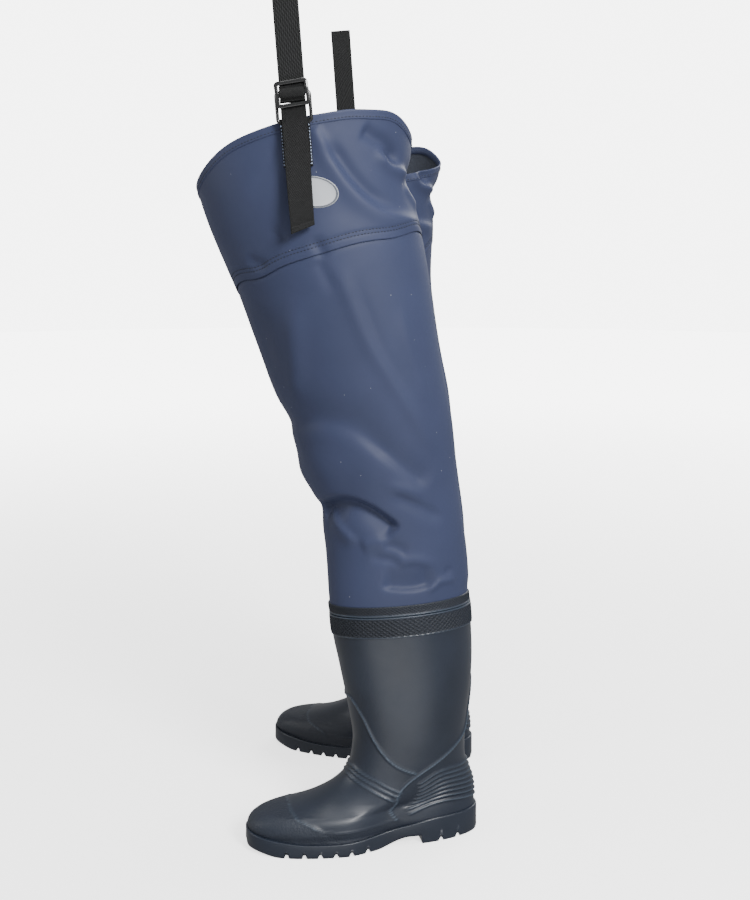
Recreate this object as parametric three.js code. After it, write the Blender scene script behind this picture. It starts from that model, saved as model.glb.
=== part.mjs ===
// A pair of hip waders: PVC boots with coated fabric legs and a webbing belt strap on each leg.
// Millimetres, +Z up. The wearer faces -Y and the wearer's left is +X.
// The origin is on the floor, under the middle of the pair.
import * as THREE from "three";

// Boots
const OUTSOLE_TOP = 22;
const HEEL_BLOCK_HEIGHT = 20;
const ARCH_HEIGHT = 9;
const TOE_SPRING = 6;
const CLEAT_DEPTH = 5;
const CLEAT_GROOVE = 5;
const SOLE_LEDGE = 3;
const BOOT_WALL = 3;
const LINING_WALL = 1.7;
const INSOLE_THICKNESS = 4;
const TOE_OUT = THREE.MathUtils.degToRad(12);
const SHAFT_X = 112;
const SHAFT_Y = 35;
const BAND_RAISE = 1.2;
const LINING_DROP = 24;

// Legs
const FABRIC = 2;
const CLEARANCE = 0.3;
const FABRIC_IN_BOOT = 20;
const STRIP_HEIGHT = 14;
const STRIP_RAISE = 1.1;
const KNEE_LOW = 370;
const KNEE_HIGH = 590;
const SEAM_LAP = 11;
const TAPE_THICKNESS = 0.8;
const TAPE_HALF_HEIGHT = 12;
const HEM_HEIGHT = 10;
const HEM_CLOTH = 1.2;
const RIGHT_BOOT_OUT = 28;
const RIGHT_BOOT_BACK = 12;
const RIGHT_TOP_BACK = 38;
const RIGHT_TOP_DROP = 10;
const RIGHT_BEND_LOW = 690;
const RIGHT_BEND_HIGH = 900;

// Heights at the front, outer side, rear and inner side of the leg
const BOOT_RIM = { front: 305, outer: 314, rear: 313, inner: 305 };
const PROFILE_RIM = 309.25;
const ANKLE = 140;
const BAND_HEIGHT = 28;
const YOKE_SEAM = { front: 711, outer: 757, rear: 788, inner: 685 };
const TOP_EDGE = { front: 826, outer: 901, rear: 886, inner: 848 };

// Belt strap
const WEB_THICKNESS = 1.6;
const WEB_WIDTH = 28;
const TAB_WIDTH = 31;
const TAB_LENGTH = 48;
const RING_ROD = 2;
const RING_WIDTH = 44;
const RING_CORNER = 3.5;
const RING_HEIGHT = 32;
const LOOP_TOP = 190;
const LOOP_ROOM = 9;
const SLIDER_WIDTH = 42;
const SLIDER_HEIGHT = 31;
const SLIDER_THICKNESS = 3.6;
const SLIDER_BAR = 5;
const SLIDER_LOW = 14;
const SLIDER_TILT = THREE.MathUtils.degToRad(5);
const TAIL_TOP = 19;
const TAIL_BOTTOM = -118;
const STRAP_LEAN = THREE.MathUtils.degToRad(4);
const STRAP_SETBACK = 5.7;
const TAB_STEP = 1.5;
const FOLD_DROP = 3;
const LABEL_WIDTH = 57;
const LABEL_HEIGHT = 35;
const LABEL_THICKNESS = 0.8;
const LABEL_DROP = 78;

const SEGMENTS = 28;
const ROW_STEP = 60;
const LINING_SEGMENTS = 20;

// Boot profile in the boot's own frame, whose origin is under the middle of the shaft.
// Each row: height, front, rear, half width of the shaft, share of shaft outline, width of the foot outline.
const BOOT_PROFILE = [
  [22, -201, 97, 44, 0.0, 0.97],
  [30, -203, 98.5, 44, 0.0, 1.0],
  [38, -200, 98, 43, 0.0, 0.98],
  [44, -193, 97.5, 43, 0.0, 0.94],
  [48, -184, 97.5, 43, 0.05, 0.9],
  [51, -167, 97.5, 43, 0.1, 0.86],
  [55, -147, 97, 43, 0.22, 0.83],
  [61, -125, 96.5, 42, 0.42, 0.82],
  [72, -99, 94.5, 42, 0.68, 0.83],
  [86, -80, 89.5, 43, 0.85, 0.85],
  [102, -70, 85, 45, 0.96, 0.88],
  [122, -66, 84, 47, 1.0, 0.9],
  [140, -65, 84.5, 49, 1.0, 0.9],
  [168, -69, 87, 51.5, 1.0, 0.9],
  [200, -75, 90.5, 54, 1.0, 0.9],
  [240, -83, 92, 57.5, 1.0, 0.9],
  [278, -90.5, 90.5, 59.5, 1.0, 0.9],
  [330, -95, 86, 61, 1.0, 0.9],
];

// Leg profile of the left leg. Each row: height, centre X, centre Y, half width, half depth.
const LEG_PROFILE = [
  [270, 112, 35, 59.5, 89.5],
  [300, 112, 32.5, 60, 90.5],
  [330, 112, 30, 61, 90],
  [400, 113, 24, 66, 88.5],
  [460, 115, 15, 73, 91],
  [520, 117, 0, 80, 98.5],
  [594, 119, -20.5, 87, 106.5],
  [655, 121, -36, 92, 112],
  [710, 122, -49.5, 96, 117.5],
  [758, 123, -63.5, 99, 123.5],
  [835, 124, -84.5, 101, 128.5],
  [925, 124, -89, 102, 133],
];

const { lerp, smoothstep } = THREE.MathUtils;

const meanHeight = (edge) => (edge.front + edge.rear + edge.outer + edge.inner) / 4;

// Height at which the profiles are read. They are drawn for a rim of PROFILE_RIM, and their
// stretches from the ankle to the rim and from the rim to the knee follow the rim's own height.
function profileHeight(z) {
  const rimHeight = meanHeight(BOOT_RIM);
  if (z <= ANKLE || z >= KNEE_HIGH) return z;
  if (z <= rimHeight) {
    return ANKLE + ((z - ANKLE) * (PROFILE_RIM - ANKLE)) / (rimHeight - ANKLE);
  }
  return PROFILE_RIM + ((z - rimHeight) * (KNEE_HIGH - PROFILE_RIM)) / (KNEE_HIGH - rimHeight);
}

// Smooth value of one column of a profile table at a height.
function along(table, column, height) {
  const last = table.length - 1;
  const z = profileHeight(height);
  if (z <= table[0][0]) return table[0][column];
  if (z >= table[last][0]) return table[last][column];
  let i = 0;
  while (table[i + 1][0] < z) i += 1;
  const slope = (k) => {
    const a = table[Math.max(k - 1, 0)];
    const b = table[Math.min(k + 1, last)];
    return (b[column] - a[column]) / (b[0] - a[0]);
  };
  const [lo, hi] = [table[i], table[i + 1]];
  const h = hi[0] - lo[0];
  const t = (z - lo[0]) / h;
  const [t2, t3] = [t * t, t * t * t];
  return (
    (2 * t3 - 3 * t2 + 1) * lo[column] +
    (t3 - 2 * t2 + t) * h * slope(i) +
    (3 * t2 - 2 * t3) * hi[column] +
    (t3 - t2) * h * slope(i + 1)
  );
}

// Height at an angle round the leg: 0 is the front, a quarter turn the outer side.
function edgeHeight(edge, angle) {
  const mean = meanHeight(edge);
  const twice = (edge.front + edge.rear - edge.outer - edge.inner) / 4;
  return (
    mean +
    ((edge.front - edge.rear) / 2) * Math.cos(angle) +
    ((edge.outer - edge.inner) / 2) * Math.sin(angle) +
    twice * Math.cos(2 * angle)
  );
}

// Half width of the foot's outline, from the toe (angle 0) to the heel (half a turn).
function footHalfWidth(angle) {
  const s = (1 - Math.cos(angle)) / 2;
  const outer = Math.sin(angle) > 0;
  const ball = outer ? 57 : 51;
  const heel = outer ? 47 : 44;
  const waist = (outer ? 6 : 8) * Math.exp(-(((s - 0.6) / 0.13) ** 2));
  const width = lerp(ball, heel, smoothstep(s, 0.38, 0.62)) - waist;
  return width * Math.abs(Math.sin(angle)) ** 0.8;
}

// Point on the left boot's outer surface, moved inwards by an inset.
function bootPoint(angle, z, inset = 0) {
  const front = along(BOOT_PROFILE, 1, z) + inset;
  const rear = along(BOOT_PROFILE, 2, z) - inset;
  const foot = footHalfWidth(angle) * along(BOOT_PROFILE, 5, z);
  const shaft = Math.abs(Math.sin(angle)) * along(BOOT_PROFILE, 3, z);
  const width = lerp(foot, shaft, along(BOOT_PROFILE, 4, z));
  const widest = along(BOOT_PROFILE, 3, z);
  const x = Math.max(width * (1 - inset / widest), 0) * Math.sign(Math.sin(angle));
  const y = (front + rear) / 2 - ((rear - front) / 2) * Math.cos(angle);
  return new THREE.Vector3(
    SHAFT_X + x * Math.cos(TOE_OUT) - y * Math.sin(TOE_OUT),
    SHAFT_Y + x * Math.sin(TOE_OUT) + y * Math.cos(TOE_OUT),
    z,
  );
}

// Point on the left leg's outer surface, moved outwards by an offset.
function legPoint(angle, z, offset = 0) {
  const halfWidth = along(LEG_PROFILE, 3, z) + offset;
  const halfDepth = along(LEG_PROFILE, 4, z) + offset;
  const twist = TOE_OUT * (1 - smoothstep(z, 330, 600));
  const x = halfWidth * Math.sin(angle);
  const y = -halfDepth * Math.cos(angle);
  return new THREE.Vector3(
    along(LEG_PROFILE, 1, z) + x * Math.cos(twist) - y * Math.sin(twist),
    along(LEG_PROFILE, 2, z) + x * Math.sin(twist) + y * Math.cos(twist),
    z,
  );
}

// The right leg is the left one mirrored. It stands a little behind the left and leans back
// above the thigh.
function toSide(point, side) {
  if (side > 0) return point;
  const up = smoothstep(point.z, RIGHT_BEND_LOW, RIGHT_BEND_HIGH);
  return new THREE.Vector3(
    -point.x - RIGHT_BOOT_OUT,
    point.y + RIGHT_BOOT_BACK + RIGHT_TOP_BACK * up,
    point.z - RIGHT_TOP_DROP * up,
  );
}

// Triangles that close a ring, round its middle.
function fan(ring) {
  const middle = ring
    .reduce((sum, p) => sum.add(p), new THREE.Vector3())
    .divideScalar(ring.length);
  return ring.map((p, j) => [middle, p, ring[(j + 1) % ring.length]]);
}

// Triangles that close a narrow bent ring, from its one long side to the other.
function ladder(ring) {
  const triangles = [];
  for (let j = 0; j < ring.length / 2 - 1; j += 1) {
    const k = ring.length - 1 - j;
    triangles.push([ring[j], ring[j + 1], ring[k]], [ring[j + 1], ring[k - 1], ring[k]]);
  }
  return triangles;
}

// Closed surface through rings of equally many points, with a cap on the first and the last ring,
// or with the last ring joined back to the first. The quads are split the same way whether the
// rings rise or fall, so that the faces of nested walls stay parallel.
function loft(rings, joined = false, cap = fan) {
  const count = rings[0].length;
  const positions = [];
  const triangle = (a, b, c) => positions.push(...a.toArray(), ...b.toArray(), ...c.toArray());
  const steps = joined ? rings.length : rings.length - 1;
  for (let i = 0; i < steps; i += 1) {
    const here = rings[i];
    const next = rings[(i + 1) % rings.length];
    const rising = next[0].z >= here[0].z;
    for (let j = 0; j < count; j += 1) {
      const k = (j + 1) % count;
      if (rising) {
        triangle(here[j], here[k], next[k]);
        triangle(here[j], next[k], next[j]);
      } else {
        triangle(here[j], here[k], next[j]);
        triangle(here[k], next[k], next[j]);
      }
    }
  }
  if (!joined) {
    for (const [a, b, c] of cap(rings[0])) triangle(a, c, b);
    for (const [a, b, c] of cap(rings[rings.length - 1])) triangle(a, b, c);
  }
  return facingOut(positions);
}

// Geometry from triangle corners, with its faces turned outwards.
function facingOut(positions) {
  let volume = 0;
  for (let i = 0; i < positions.length; i += 9) {
    const [ax, ay, az, bx, by, bz, cx, cy, cz] = positions.slice(i, i + 9);
    volume +=
      ax * (by * cz - bz * cy) + ay * (bz * cx - bx * cz) + az * (bx * cy - by * cx);
  }
  if (volume < 0) {
    for (let i = 0; i < positions.length; i += 9) {
      const second = positions.slice(i + 3, i + 6);
      const third = positions.slice(i + 6, i + 9);
      positions.splice(i + 3, 6, ...third, ...second);
    }
  }
  const geometry = new THREE.BufferGeometry();
  geometry.setAttribute("position", new THREE.Float32BufferAttribute(positions, 3));
  geometry.computeVertexNormals();
  return geometry;
}

function angles(count) {
  return Array.from({ length: count }, (_, i) => (i / count) * 2 * Math.PI);
}

// Fabric tube round the leg. Each section row holds an outward offset and a height function.
function fabricTube(side, section) {
  const rings = section.map(([offset, height]) =>
    angles(SEGMENTS).map((a) => toSide(legPoint(a, height(a), offset), side)),
  );
  return loft(rings, true);
}

// Section of a fabric panel from its rows of outer offset and height, lowest first.
function panelSection(rows) {
  const inside = rows.map(([offset, height]) => [offset - FABRIC, height]);
  return [...rows, ...inside.reverse()];
}

const rim = (rise) => (a) => edgeHeight(BOOT_RIM, a) + rise;
const seam = (rise) => (a) => edgeHeight(YOKE_SEAM, a) + rise;
const topEdge = (rise) => (a) => edgeHeight(TOP_EDGE, a) + rise;
const level = (z) => () => z;
const between = (low, high, share) => (a) => lerp(low(a), high(a), share);

const fabricInBoot = -(BOOT_WALL + 3 * CLEARANCE);

function shinPanel(side) {
  return fabricTube(
    side,
    panelSection([
      [fabricInBoot, rim(-FABRIC_IN_BOOT)],
      [fabricInBoot, rim(1)],
      [-0.6, rim(STRIP_HEIGHT)],
      [0, level(KNEE_LOW)],
    ]),
  );
}

function kneePanel(side) {
  const low = KNEE_LOW + CLEARANCE;
  const high = KNEE_HIGH - CLEARANCE;
  const rows = [0, 0.25, 0.5, 0.75, 1].map((share) => [0, level(lerp(low, high, share))]);
  return fabricTube(side, panelSection(rows));
}

function thighPanel(side) {
  const lapped = -(FABRIC + CLEARANCE);
  return fabricTube(
    side,
    panelSection([
      [0, level(KNEE_HIGH)],
      [0, between(level(KNEE_HIGH), seam(-5), 0.5)],
      [0, seam(-5)],
      [lapped, seam(0)],
      [lapped, seam(SEAM_LAP)],
    ]),
  );
}

// Rows of a panel between two edges, with the edges left out, about ROW_STEP apart.
function rowsBetween(low, high) {
  const height = meanHeight(high.edge) + high.rise - meanHeight(low.edge) - low.rise;
  const steps = Math.max(Math.round(height / ROW_STEP), 1);
  return Array.from({ length: steps - 1 }, (_, i) => [
    0,
    between(
      (a) => edgeHeight(low.edge, a) + low.rise,
      (a) => edgeHeight(high.edge, a) + high.rise,
      (i + 1) / steps,
    ),
  ]);
}

function yokePanel(side) {
  return fabricTube(
    side,
    panelSection([
      [0, seam(0)],
      [0, seam(SEAM_LAP)],
      ...rowsBetween(
        { edge: YOKE_SEAM, rise: SEAM_LAP },
        { edge: TOP_EDGE, rise: -HEM_HEIGHT },
      ),
      [0, topEdge(-HEM_HEIGHT)],
      [0, topEdge(0)],
    ]),
  );
}

// Tape inside the seam between thigh and yoke.
function seamBand(side) {
  const outer = -(2 * FABRIC + 2 * CLEARANCE);
  const inner = outer - TAPE_THICKNESS;
  return fabricTube(side, [
    [outer, seam(0)],
    [outer, seam(SEAM_LAP + 3)],
    [inner, seam(SEAM_LAP + 3)],
    [inner, seam(0)],
  ]);
}

// Binding folded over the top edge of the yoke.
function topHem(side) {
  const out = CLEARANCE + HEM_CLOTH;
  const within = -(FABRIC + CLEARANCE);
  const inside = within - HEM_CLOTH;
  return fabricTube(side, [
    [out, topEdge(-HEM_HEIGHT)],
    [out, topEdge(out)],
    [inside, topEdge(out)],
    [inside, topEdge(-HEM_HEIGHT)],
    [within, topEdge(-HEM_HEIGHT)],
    [within, topEdge(CLEARANCE)],
    [CLEARANCE, topEdge(CLEARANCE)],
    [CLEARANCE, topEdge(-HEM_HEIGHT)],
  ]);
}

// Weld strip that covers the joint between the fabric and the boot's rim.
function jointStrip(side) {
  const low = fabricInBoot + CLEARANCE;
  const high = -0.6 + CLEARANCE;
  return fabricTube(side, [
    [STRIP_RAISE, rim(CLEARANCE)],
    [STRIP_RAISE, rim(STRIP_HEIGHT)],
    [high, rim(STRIP_HEIGHT)],
    [low, rim(1)],
    [low, rim(CLEARANCE)],
  ]);
}

// Sealing tape along the inside of the fabric's lengthwise seam, on the inner side of the
// leg. It lies on the flat faces of the panel, whose rows of heights it is given.
function seamTape(side, rows) {
  const outer = -(FABRIC + 2.5 * CLEARANCE);
  const middle = 1.5 * Math.PI;
  const step = (2 * Math.PI) / SEGMENTS;
  const onRow = (row, turn, offset) => {
    const centre = legPoint(middle, row(middle), offset);
    if (turn === 0) return centre;
    const neighbour = legPoint(middle + turn * step, row(middle + turn * step), offset);
    return centre.lerp(neighbour, 0.5);
  };
  const stations = [[0, 0.03]];
  for (let i = 1; i < rows.length - 1; i += 1) stations.push([i, 0]);
  stations.push([rows.length - 2, 0.96]);
  const rings = stations.map(([i, share]) => {
    const at = (turn, offset) => {
      const low = onRow(rows[i], turn, offset);
      const high = onRow(rows[i + 1], turn, offset);
      return toSide(low.lerp(high, share), side);
    };
    const back = outer - TAPE_THICKNESS;
    return [at(-1, outer), at(0, outer), at(1, outer), at(1, back), at(0, back), at(-1, back)];
  });
  return loft(rings, false, ladder);
}

const shinSeamTape = (side) => seamTape(side, [rim(STRIP_HEIGHT), level(KNEE_LOW)]);
const thighSeamTape = (side) =>
  seamTape(side, [
    level(KNEE_HIGH),
    between(level(KNEE_HIGH), seam(-5), 0.5),
    seam(-5),
  ]);

// Height on the boot of a height that is drawn for a rim of PROFILE_RIM.
function shaftHeight(z) {
  if (z <= ANKLE) return z;
  return ANKLE + ((z - ANKLE) * (meanHeight(BOOT_RIM) - ANKLE)) / (PROFILE_RIM - ANKLE);
}

// Heights of the rings inside the boot, which the shell and the lining share.
const BOOT_INSIDE = [34, 41, 46, 51, 58, 70, 87, 108, 145, 195, 240].map(shaftHeight);
const BOOT_FLOOR = OUTSOLE_TOP + 2 * BOOT_WALL;

// Boot shell: outer wall from the floor up, over the rim, and the inner wall back down.
function bootUpper(side) {
  const outer = [22, 30, 38, 44, 48, 51, 55, 61, 72, 86, 102, 122, 148, 186, 232].map(
    (z) => [0, level(shaftHeight(z))],
  );
  const band = [
    [0, rim(-BAND_HEIGHT - 1)],
    [-BAND_RAISE, rim(-BAND_HEIGHT)],
    [-BAND_RAISE, rim(0)],
  ];
  const inner = [
    [BOOT_WALL, rim(0)],
    [BOOT_WALL, rim(-LINING_DROP)],
    ...BOOT_INSIDE.map((z) => [BOOT_WALL, level(z)]).reverse(),
    [BOOT_WALL, level(BOOT_FLOOR)],
  ];
  return bootShell(side, [...outer, ...band, ...inner], SEGMENTS);
}

// Rings of a boot shell. An inset ring is read lower on the profile, so that a sloping
// wall keeps its thickness.
function bootShell(side, rows, count) {
  const rings = rows.map(([inset, height]) =>
    angles(count).map((a) => {
      const z = height(a);
      const source = inset > 0 ? Math.min(z + inset, 330) : z;
      const point = bootPoint(a, source, inset);
      point.z = z;
      return toSide(point, side);
    }),
  );
  return loft(rings);
}

// Fabric lining bonded inside the boot.
function bootLining(side) {
  const outside = BOOT_WALL + CLEARANCE;
  const inside = outside + LINING_WALL;
  const floor = BOOT_FLOOR + CLEARANCE;
  return bootShell(
    side,
    [
      [outside, level(floor)],
      ...BOOT_INSIDE.map((z) => [outside, level(z)]),
      [outside, rim(-LINING_DROP)],
      [inside, rim(-LINING_DROP)],
      ...BOOT_INSIDE.map((z) => [inside, level(z)]).reverse(),
      [inside, level(floor + LINING_WALL)],
    ],
    SEGMENTS,
  );
}

// Padded insole lying on the boot's floor.
function insole(side) {
  const edge = BOOT_WALL + LINING_WALL + 2.5;
  const low = BOOT_FLOOR + LINING_WALL + 2 * CLEARANCE;
  const rows = [
    [edge + 1, level(low)],
    [edge + 1, level(low + INSOLE_THICKNESS)],
  ];
  const rings = rows.map(([inset, height]) =>
    angles(LINING_SEGMENTS).map((a) => {
      const point = bootPoint(a, 40, inset);
      point.z = height(a);
      return toSide(point, side);
    }),
  );
  return loft(rings);
}

// Underside of the outsole along the foot: toe spring, arch and heel block.
function soleBottom(y) {
  const toe = TOE_SPRING * smoothstep(-y, 165, 206);
  if (y < -45) return toe;
  const arch = ARCH_HEIGHT * smoothstep(y, -45, 0);
  return y < 18 ? arch : 0;
}

// Outsole: stations along the foot from toe to heel with lugs between cross grooves.
function outsole(side) {
  const front = along(BOOT_PROFILE, 1, 30) - SOLE_LEDGE;
  const rear = along(BOOT_PROFILE, 2, 30) + SOLE_LEDGE;
  const grooves = [-160, -138, -118, -98, -78, -56, 44, 68];
  const stations = [0.004, 0.02, 0.05, 0.09].map((s) => [lerp(front, rear, s), 0]);
  for (const at of grooves) {
    const [near, far] = [at - CLEAT_GROOVE / 2, at + CLEAT_GROOVE / 2];
    stations.push([near - 0.2, 0], [near + 0.2, 1], [far - 0.2, 1], [far + 0.2, 0]);
  }
  stations.push([-38, 0], [-20, 0], [0, 0], [17.5, 0], [18.5, 0], [30, 0]);
  stations.push(...[0.92, 0.96, 0.985, 0.998].map((s) => [lerp(front, rear, s), 0]));
  stations.sort((a, b) => a[0] - b[0]);
  const rings = stations.map(([y, groove]) => {
    const s = THREE.MathUtils.clamp((y - front) / (rear - front), 0, 1);
    const angle = Math.acos(1 - 2 * s);
    const outerEdge = footHalfWidth(angle) + SOLE_LEDGE * Math.sin(angle) ** 0.5;
    const innerEdge = -footHalfWidth(-angle) - SOLE_LEDGE * Math.sin(angle) ** 0.5;
    const bottom = soleBottom(y) + groove * CLEAT_DEPTH;
    const top = OUTSOLE_TOP - CLEARANCE;
    const corners = [
      [innerEdge + 1.5, bottom],
      [outerEdge - 1.5, bottom],
      [outerEdge, bottom + 3],
      [outerEdge, top - 1.5],
      [outerEdge - 1.5, top],
      [innerEdge + 1.5, top],
      [innerEdge, top - 1.5],
      [innerEdge, bottom + 3],
    ];
    return corners.map(([x, z]) =>
      toSide(
        new THREE.Vector3(
          SHAFT_X + x * Math.cos(TOE_OUT) - y * Math.sin(TOE_OUT),
          SHAFT_Y + x * Math.sin(TOE_OUT) + y * Math.cos(TOE_OUT),
          z,
        ),
        side,
      ),
    );
  });
  return loft(rings);
}

// Strap frame of a leg: across (towards the rear), outwards and up, from the tab's fold.
const STRAP_ANGLE = THREE.MathUtils.degToRad(90);
const STRAP_HEIGHT = TOP_EDGE.outer - FOLD_DROP;

function strapPoint(side, across, outward, up) {
  const root = legPoint(STRAP_ANGLE, STRAP_HEIGHT, STRAP_SETBACK);
  const y = root.y + across * Math.cos(STRAP_LEAN) - up * Math.sin(STRAP_LEAN);
  const z = root.z + across * Math.sin(STRAP_LEAN) + up * Math.cos(STRAP_LEAN);
  const moved = toSide(root.clone(), side).sub(root);
  return new THREE.Vector3(
    side > 0 ? root.x + outward : root.x + moved.x - outward,
    y + moved.y,
    z + moved.z,
  );
}

// Flat band of a given width whose middle line runs through points of (outward, up).
function webbing(side, path, thickness, width) {
  const points = path.map(([outward, up]) => new THREE.Vector2(outward, up));
  const edge = (hand) =>
    points.map((point, i) => {
      const before = points[Math.max(i - 1, 0)];
      const after = points[Math.min(i + 1, points.length - 1)];
      const into = point.clone().sub(before);
      const out = after.clone().sub(point);
      if (i === 0) into.copy(out);
      if (i === points.length - 1) out.copy(into);
      const a = into.normalize();
      const b = out.normalize();
      const normal = new THREE.Vector2(-(a.y + b.y), a.x + b.x).normalize();
      const stretch = 1 / Math.max(normal.dot(new THREE.Vector2(-a.y, a.x)), 0.5);
      return point.clone().addScaledVector(normal, (hand * thickness * stretch) / 2);
    });
  const outline = [...edge(1), ...edge(-1).reverse()];
  return prism(side, outline, -width / 2, width / 2);
}

// Solid with an outline of (outward, up) points and flat sides across the strap.
function prism(side, outline, from, to) {
  const positions = [];
  const place = (p, across) => strapPoint(side, across, p.x, p.y).toArray();
  const count = outline.length;
  for (let i = 0; i < count; i += 1) {
    const [p, q] = [outline[i], outline[(i + 1) % count]];
    positions.push(...place(p, from), ...place(q, from), ...place(q, to));
    positions.push(...place(p, from), ...place(q, to), ...place(p, to));
  }
  for (const [a, b, c] of THREE.ShapeUtils.triangulateShape(outline, [])) {
    positions.push(...place(outline[a], from), ...place(outline[c], from), ...place(outline[b], from));
    positions.push(...place(outline[a], to), ...place(outline[b], to), ...place(outline[c], to));
  }
  const turned = THREE.ShapeUtils.isClockWise(outline) ? outline.slice().reverse() : outline;
  return turned === outline ? facingOut(positions) : prism(side, turned, from, to);
}

// Points of an arc round a centre, from one angle to another in degrees.
function arc(outward, up, radius, from, to, steps) {
  return Array.from({ length: steps + 1 }, (_, i) => {
    const t = THREE.MathUtils.degToRad(lerp(from, to, i / steps));
    return [outward + radius * Math.cos(t), up + radius * Math.sin(t)];
  });
}

const wrap = RING_ROD + CLEARANCE + WEB_THICKNESS / 2;

// Tab sewn on the yoke, folded over the ring's lower bar.
function anchorTab(side) {
  const backLeg = -wrap;
  const frontLeg = backLeg + WEB_THICKNESS + CLEARANCE;
  return webbing(
    side,
    [
      [backLeg - TAB_STEP, -TAB_LENGTH],
      [backLeg - TAB_STEP, -15],
      [backLeg, -10],
      [backLeg, 0],
      ...arc(0, 0, wrap, 180, 0, 8).slice(1, -1),
      [wrap, 0],
      [wrap - 0.4, -3],
      [frontLeg, -9],
      [frontLeg - TAB_STEP, -15],
      [frontLeg - TAB_STEP, -TAB_LENGTH],
    ],
    WEB_THICKNESS,
    TAB_WIDTH,
  );
}

// Rectangular ring of round rod.
function ring(side) {
  const [w, h, r] = [RING_WIDTH / 2 - RING_ROD, RING_HEIGHT, RING_CORNER];
  const corner = (across, up, from) =>
    arc(across, up, r, from, from + 90, 3).map(([u, v]) => [u, v]);
  const path = [
    ...corner(w - r, h - r, 0),
    ...corner(-w + r, h - r, 90),
    ...corner(-w + r, r, 180),
    ...corner(w - r, r, 270),
  ];
  const rings = path.map(([u, v], i) => {
    const [before, after] = [path.at(i - 1), path[(i + 1) % path.length]];
    const along2 = new THREE.Vector2(after[0] - before[0], after[1] - before[1]).normalize();
    return angles(8).map((a) => {
      const reach = RING_ROD * Math.cos(a);
      return strapPoint(
        side,
        u + along2.y * reach,
        RING_ROD * Math.sin(a),
        v - along2.x * reach,
      );
    });
  });
  return loft(rings, true);
}

const FRONT_LAYER = wrap + WEB_THICKNESS + 2 * CLEARANCE;

// Belt strap: from its eye round the ring's upper bar up the back, over the belt and down
// the front to the slider.
function beltStrap(side) {
  const back = -wrap;
  const top = LOOP_TOP - LOOP_ROOM / 2;
  const middle = (FRONT_LAYER + back) / 2;
  const half = (FRONT_LAYER - back) / 2;
  return webbing(
    side,
    [
      [wrap, RING_HEIGHT + 3],
      [wrap, RING_HEIGHT],
      ...arc(0, RING_HEIGHT, wrap, 0, -180, 8).slice(1, -1),
      [back, RING_HEIGHT],
      [back - 0.5, top - 60],
      ...arc(middle, top - half, half + 0.5, 180, 0, 8),
      [FRONT_LAYER + 0.3, top - 60],
      [FRONT_LAYER, SLIDER_LOW + SLIDER_HEIGHT + 6],
      [FRONT_LAYER, TAIL_TOP + 4],
    ],
    WEB_THICKNESS,
    WEB_WIDTH,
  );
}

// Free end of the webbing that hangs from the slider.
function strapTail(side) {
  return webbing(
    side,
    [
      [FRONT_LAYER, TAIL_TOP],
      [FRONT_LAYER, -40],
      [FRONT_LAYER + 1, -80],
      [FRONT_LAYER + 1.5, TAIL_BOTTOM],
    ],
    WEB_THICKNESS,
    WEB_WIDTH,
  );
}

// Three-bar slider in front of the strap.
function slider(side) {
  const back = FRONT_LAYER + WEB_THICKNESS / 2 + CLEARANCE + 0.3;
  const front = back + SLIDER_THICKNESS;
  const [w, h] = [SLIDER_WIDTH / 2, SLIDER_HEIGHT];
  const shape = new THREE.Shape();
  const r = 4;
  shape.moveTo(-w + r, 0);
  shape.lineTo(w - r, 0);
  shape.absarc(w - r, r, r, -Math.PI / 2, 0);
  shape.lineTo(w, h - r);
  shape.absarc(w - r, h - r, r, 0, Math.PI / 2);
  shape.lineTo(-w + r, h);
  shape.absarc(-w + r, h - r, r, Math.PI / 2, Math.PI);
  shape.lineTo(-w, r);
  shape.absarc(-w + r, r, r, Math.PI, 1.5 * Math.PI);
  const slot = (h - 3 * SLIDER_BAR) / 2;
  for (const low of [SLIDER_BAR, 2 * SLIDER_BAR + slot]) {
    const hole = new THREE.Path();
    const inside = w - SLIDER_BAR;
    hole.moveTo(-inside, low);
    hole.lineTo(-inside, low + slot);
    hole.lineTo(inside, low + slot);
    hole.lineTo(inside, low);
    hole.closePath();
    shape.holes.push(hole);
  }
  const plate = new THREE.ExtrudeGeometry(shape, {
    depth: SLIDER_THICKNESS,
    bevelEnabled: false,
    curveSegments: 3,
  });
  const source = plate.attributes.position;
  const positions = [];
  for (let i = 0; i < source.count; i += 1) {
    const point = new THREE.Vector2(source.getX(i), source.getY(i));
    point.rotateAround(new THREE.Vector2(0, SLIDER_HEIGHT / 2), SLIDER_TILT);
    const outward = source.getZ(i) > SLIDER_THICKNESS / 2 ? front : back;
    positions.push(...strapPoint(side, point.x, outward, SLIDER_LOW + point.y).toArray());
  }
  return facingOut(positions);
}

// Oval label welded on the yoke below the tab.
const LABEL_ANGLE = THREE.MathUtils.degToRad(99);
const LABEL_AT = TOP_EDGE.outer - LABEL_DROP;

function label(side) {
  const depth = along(LEG_PROFILE, 4, LABEL_AT);
  const layer = (share, offset) =>
    angles(24).map((t) => {
      const turn = (share * (LABEL_WIDTH / 2) * Math.cos(t)) / depth;
      const z = LABEL_AT + share * (LABEL_HEIGHT / 2) * Math.sin(t);
      return toSide(legPoint(LABEL_ANGLE + turn, z, offset), side);
    });
  const face = CLEARANCE + LABEL_THICKNESS;
  return loft([
    layer(0.35, CLEARANCE),
    layer(0.7, CLEARANCE),
    layer(1, CLEARANCE),
    layer(1, face),
    layer(0.7, face),
    layer(0.35, face),
  ]);
}

const material = (color, roughness, metalness = 0) =>
  new THREE.MeshStandardMaterial({ color, roughness, metalness });

const MATERIALS = {
  fabric: material(0x39424f, 0.55),
  rubber: material(0x1d2126, 0.42),
  weldStrip: material(0x22262c, 0.5),
  lining: material(0x4a4d50, 0.9),
  webbing: material(0x17181a, 0.8),
  plastic: material(0x0d0e10, 0.25),
  label: material(0xe8e8ea, 0.4),
};

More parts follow.
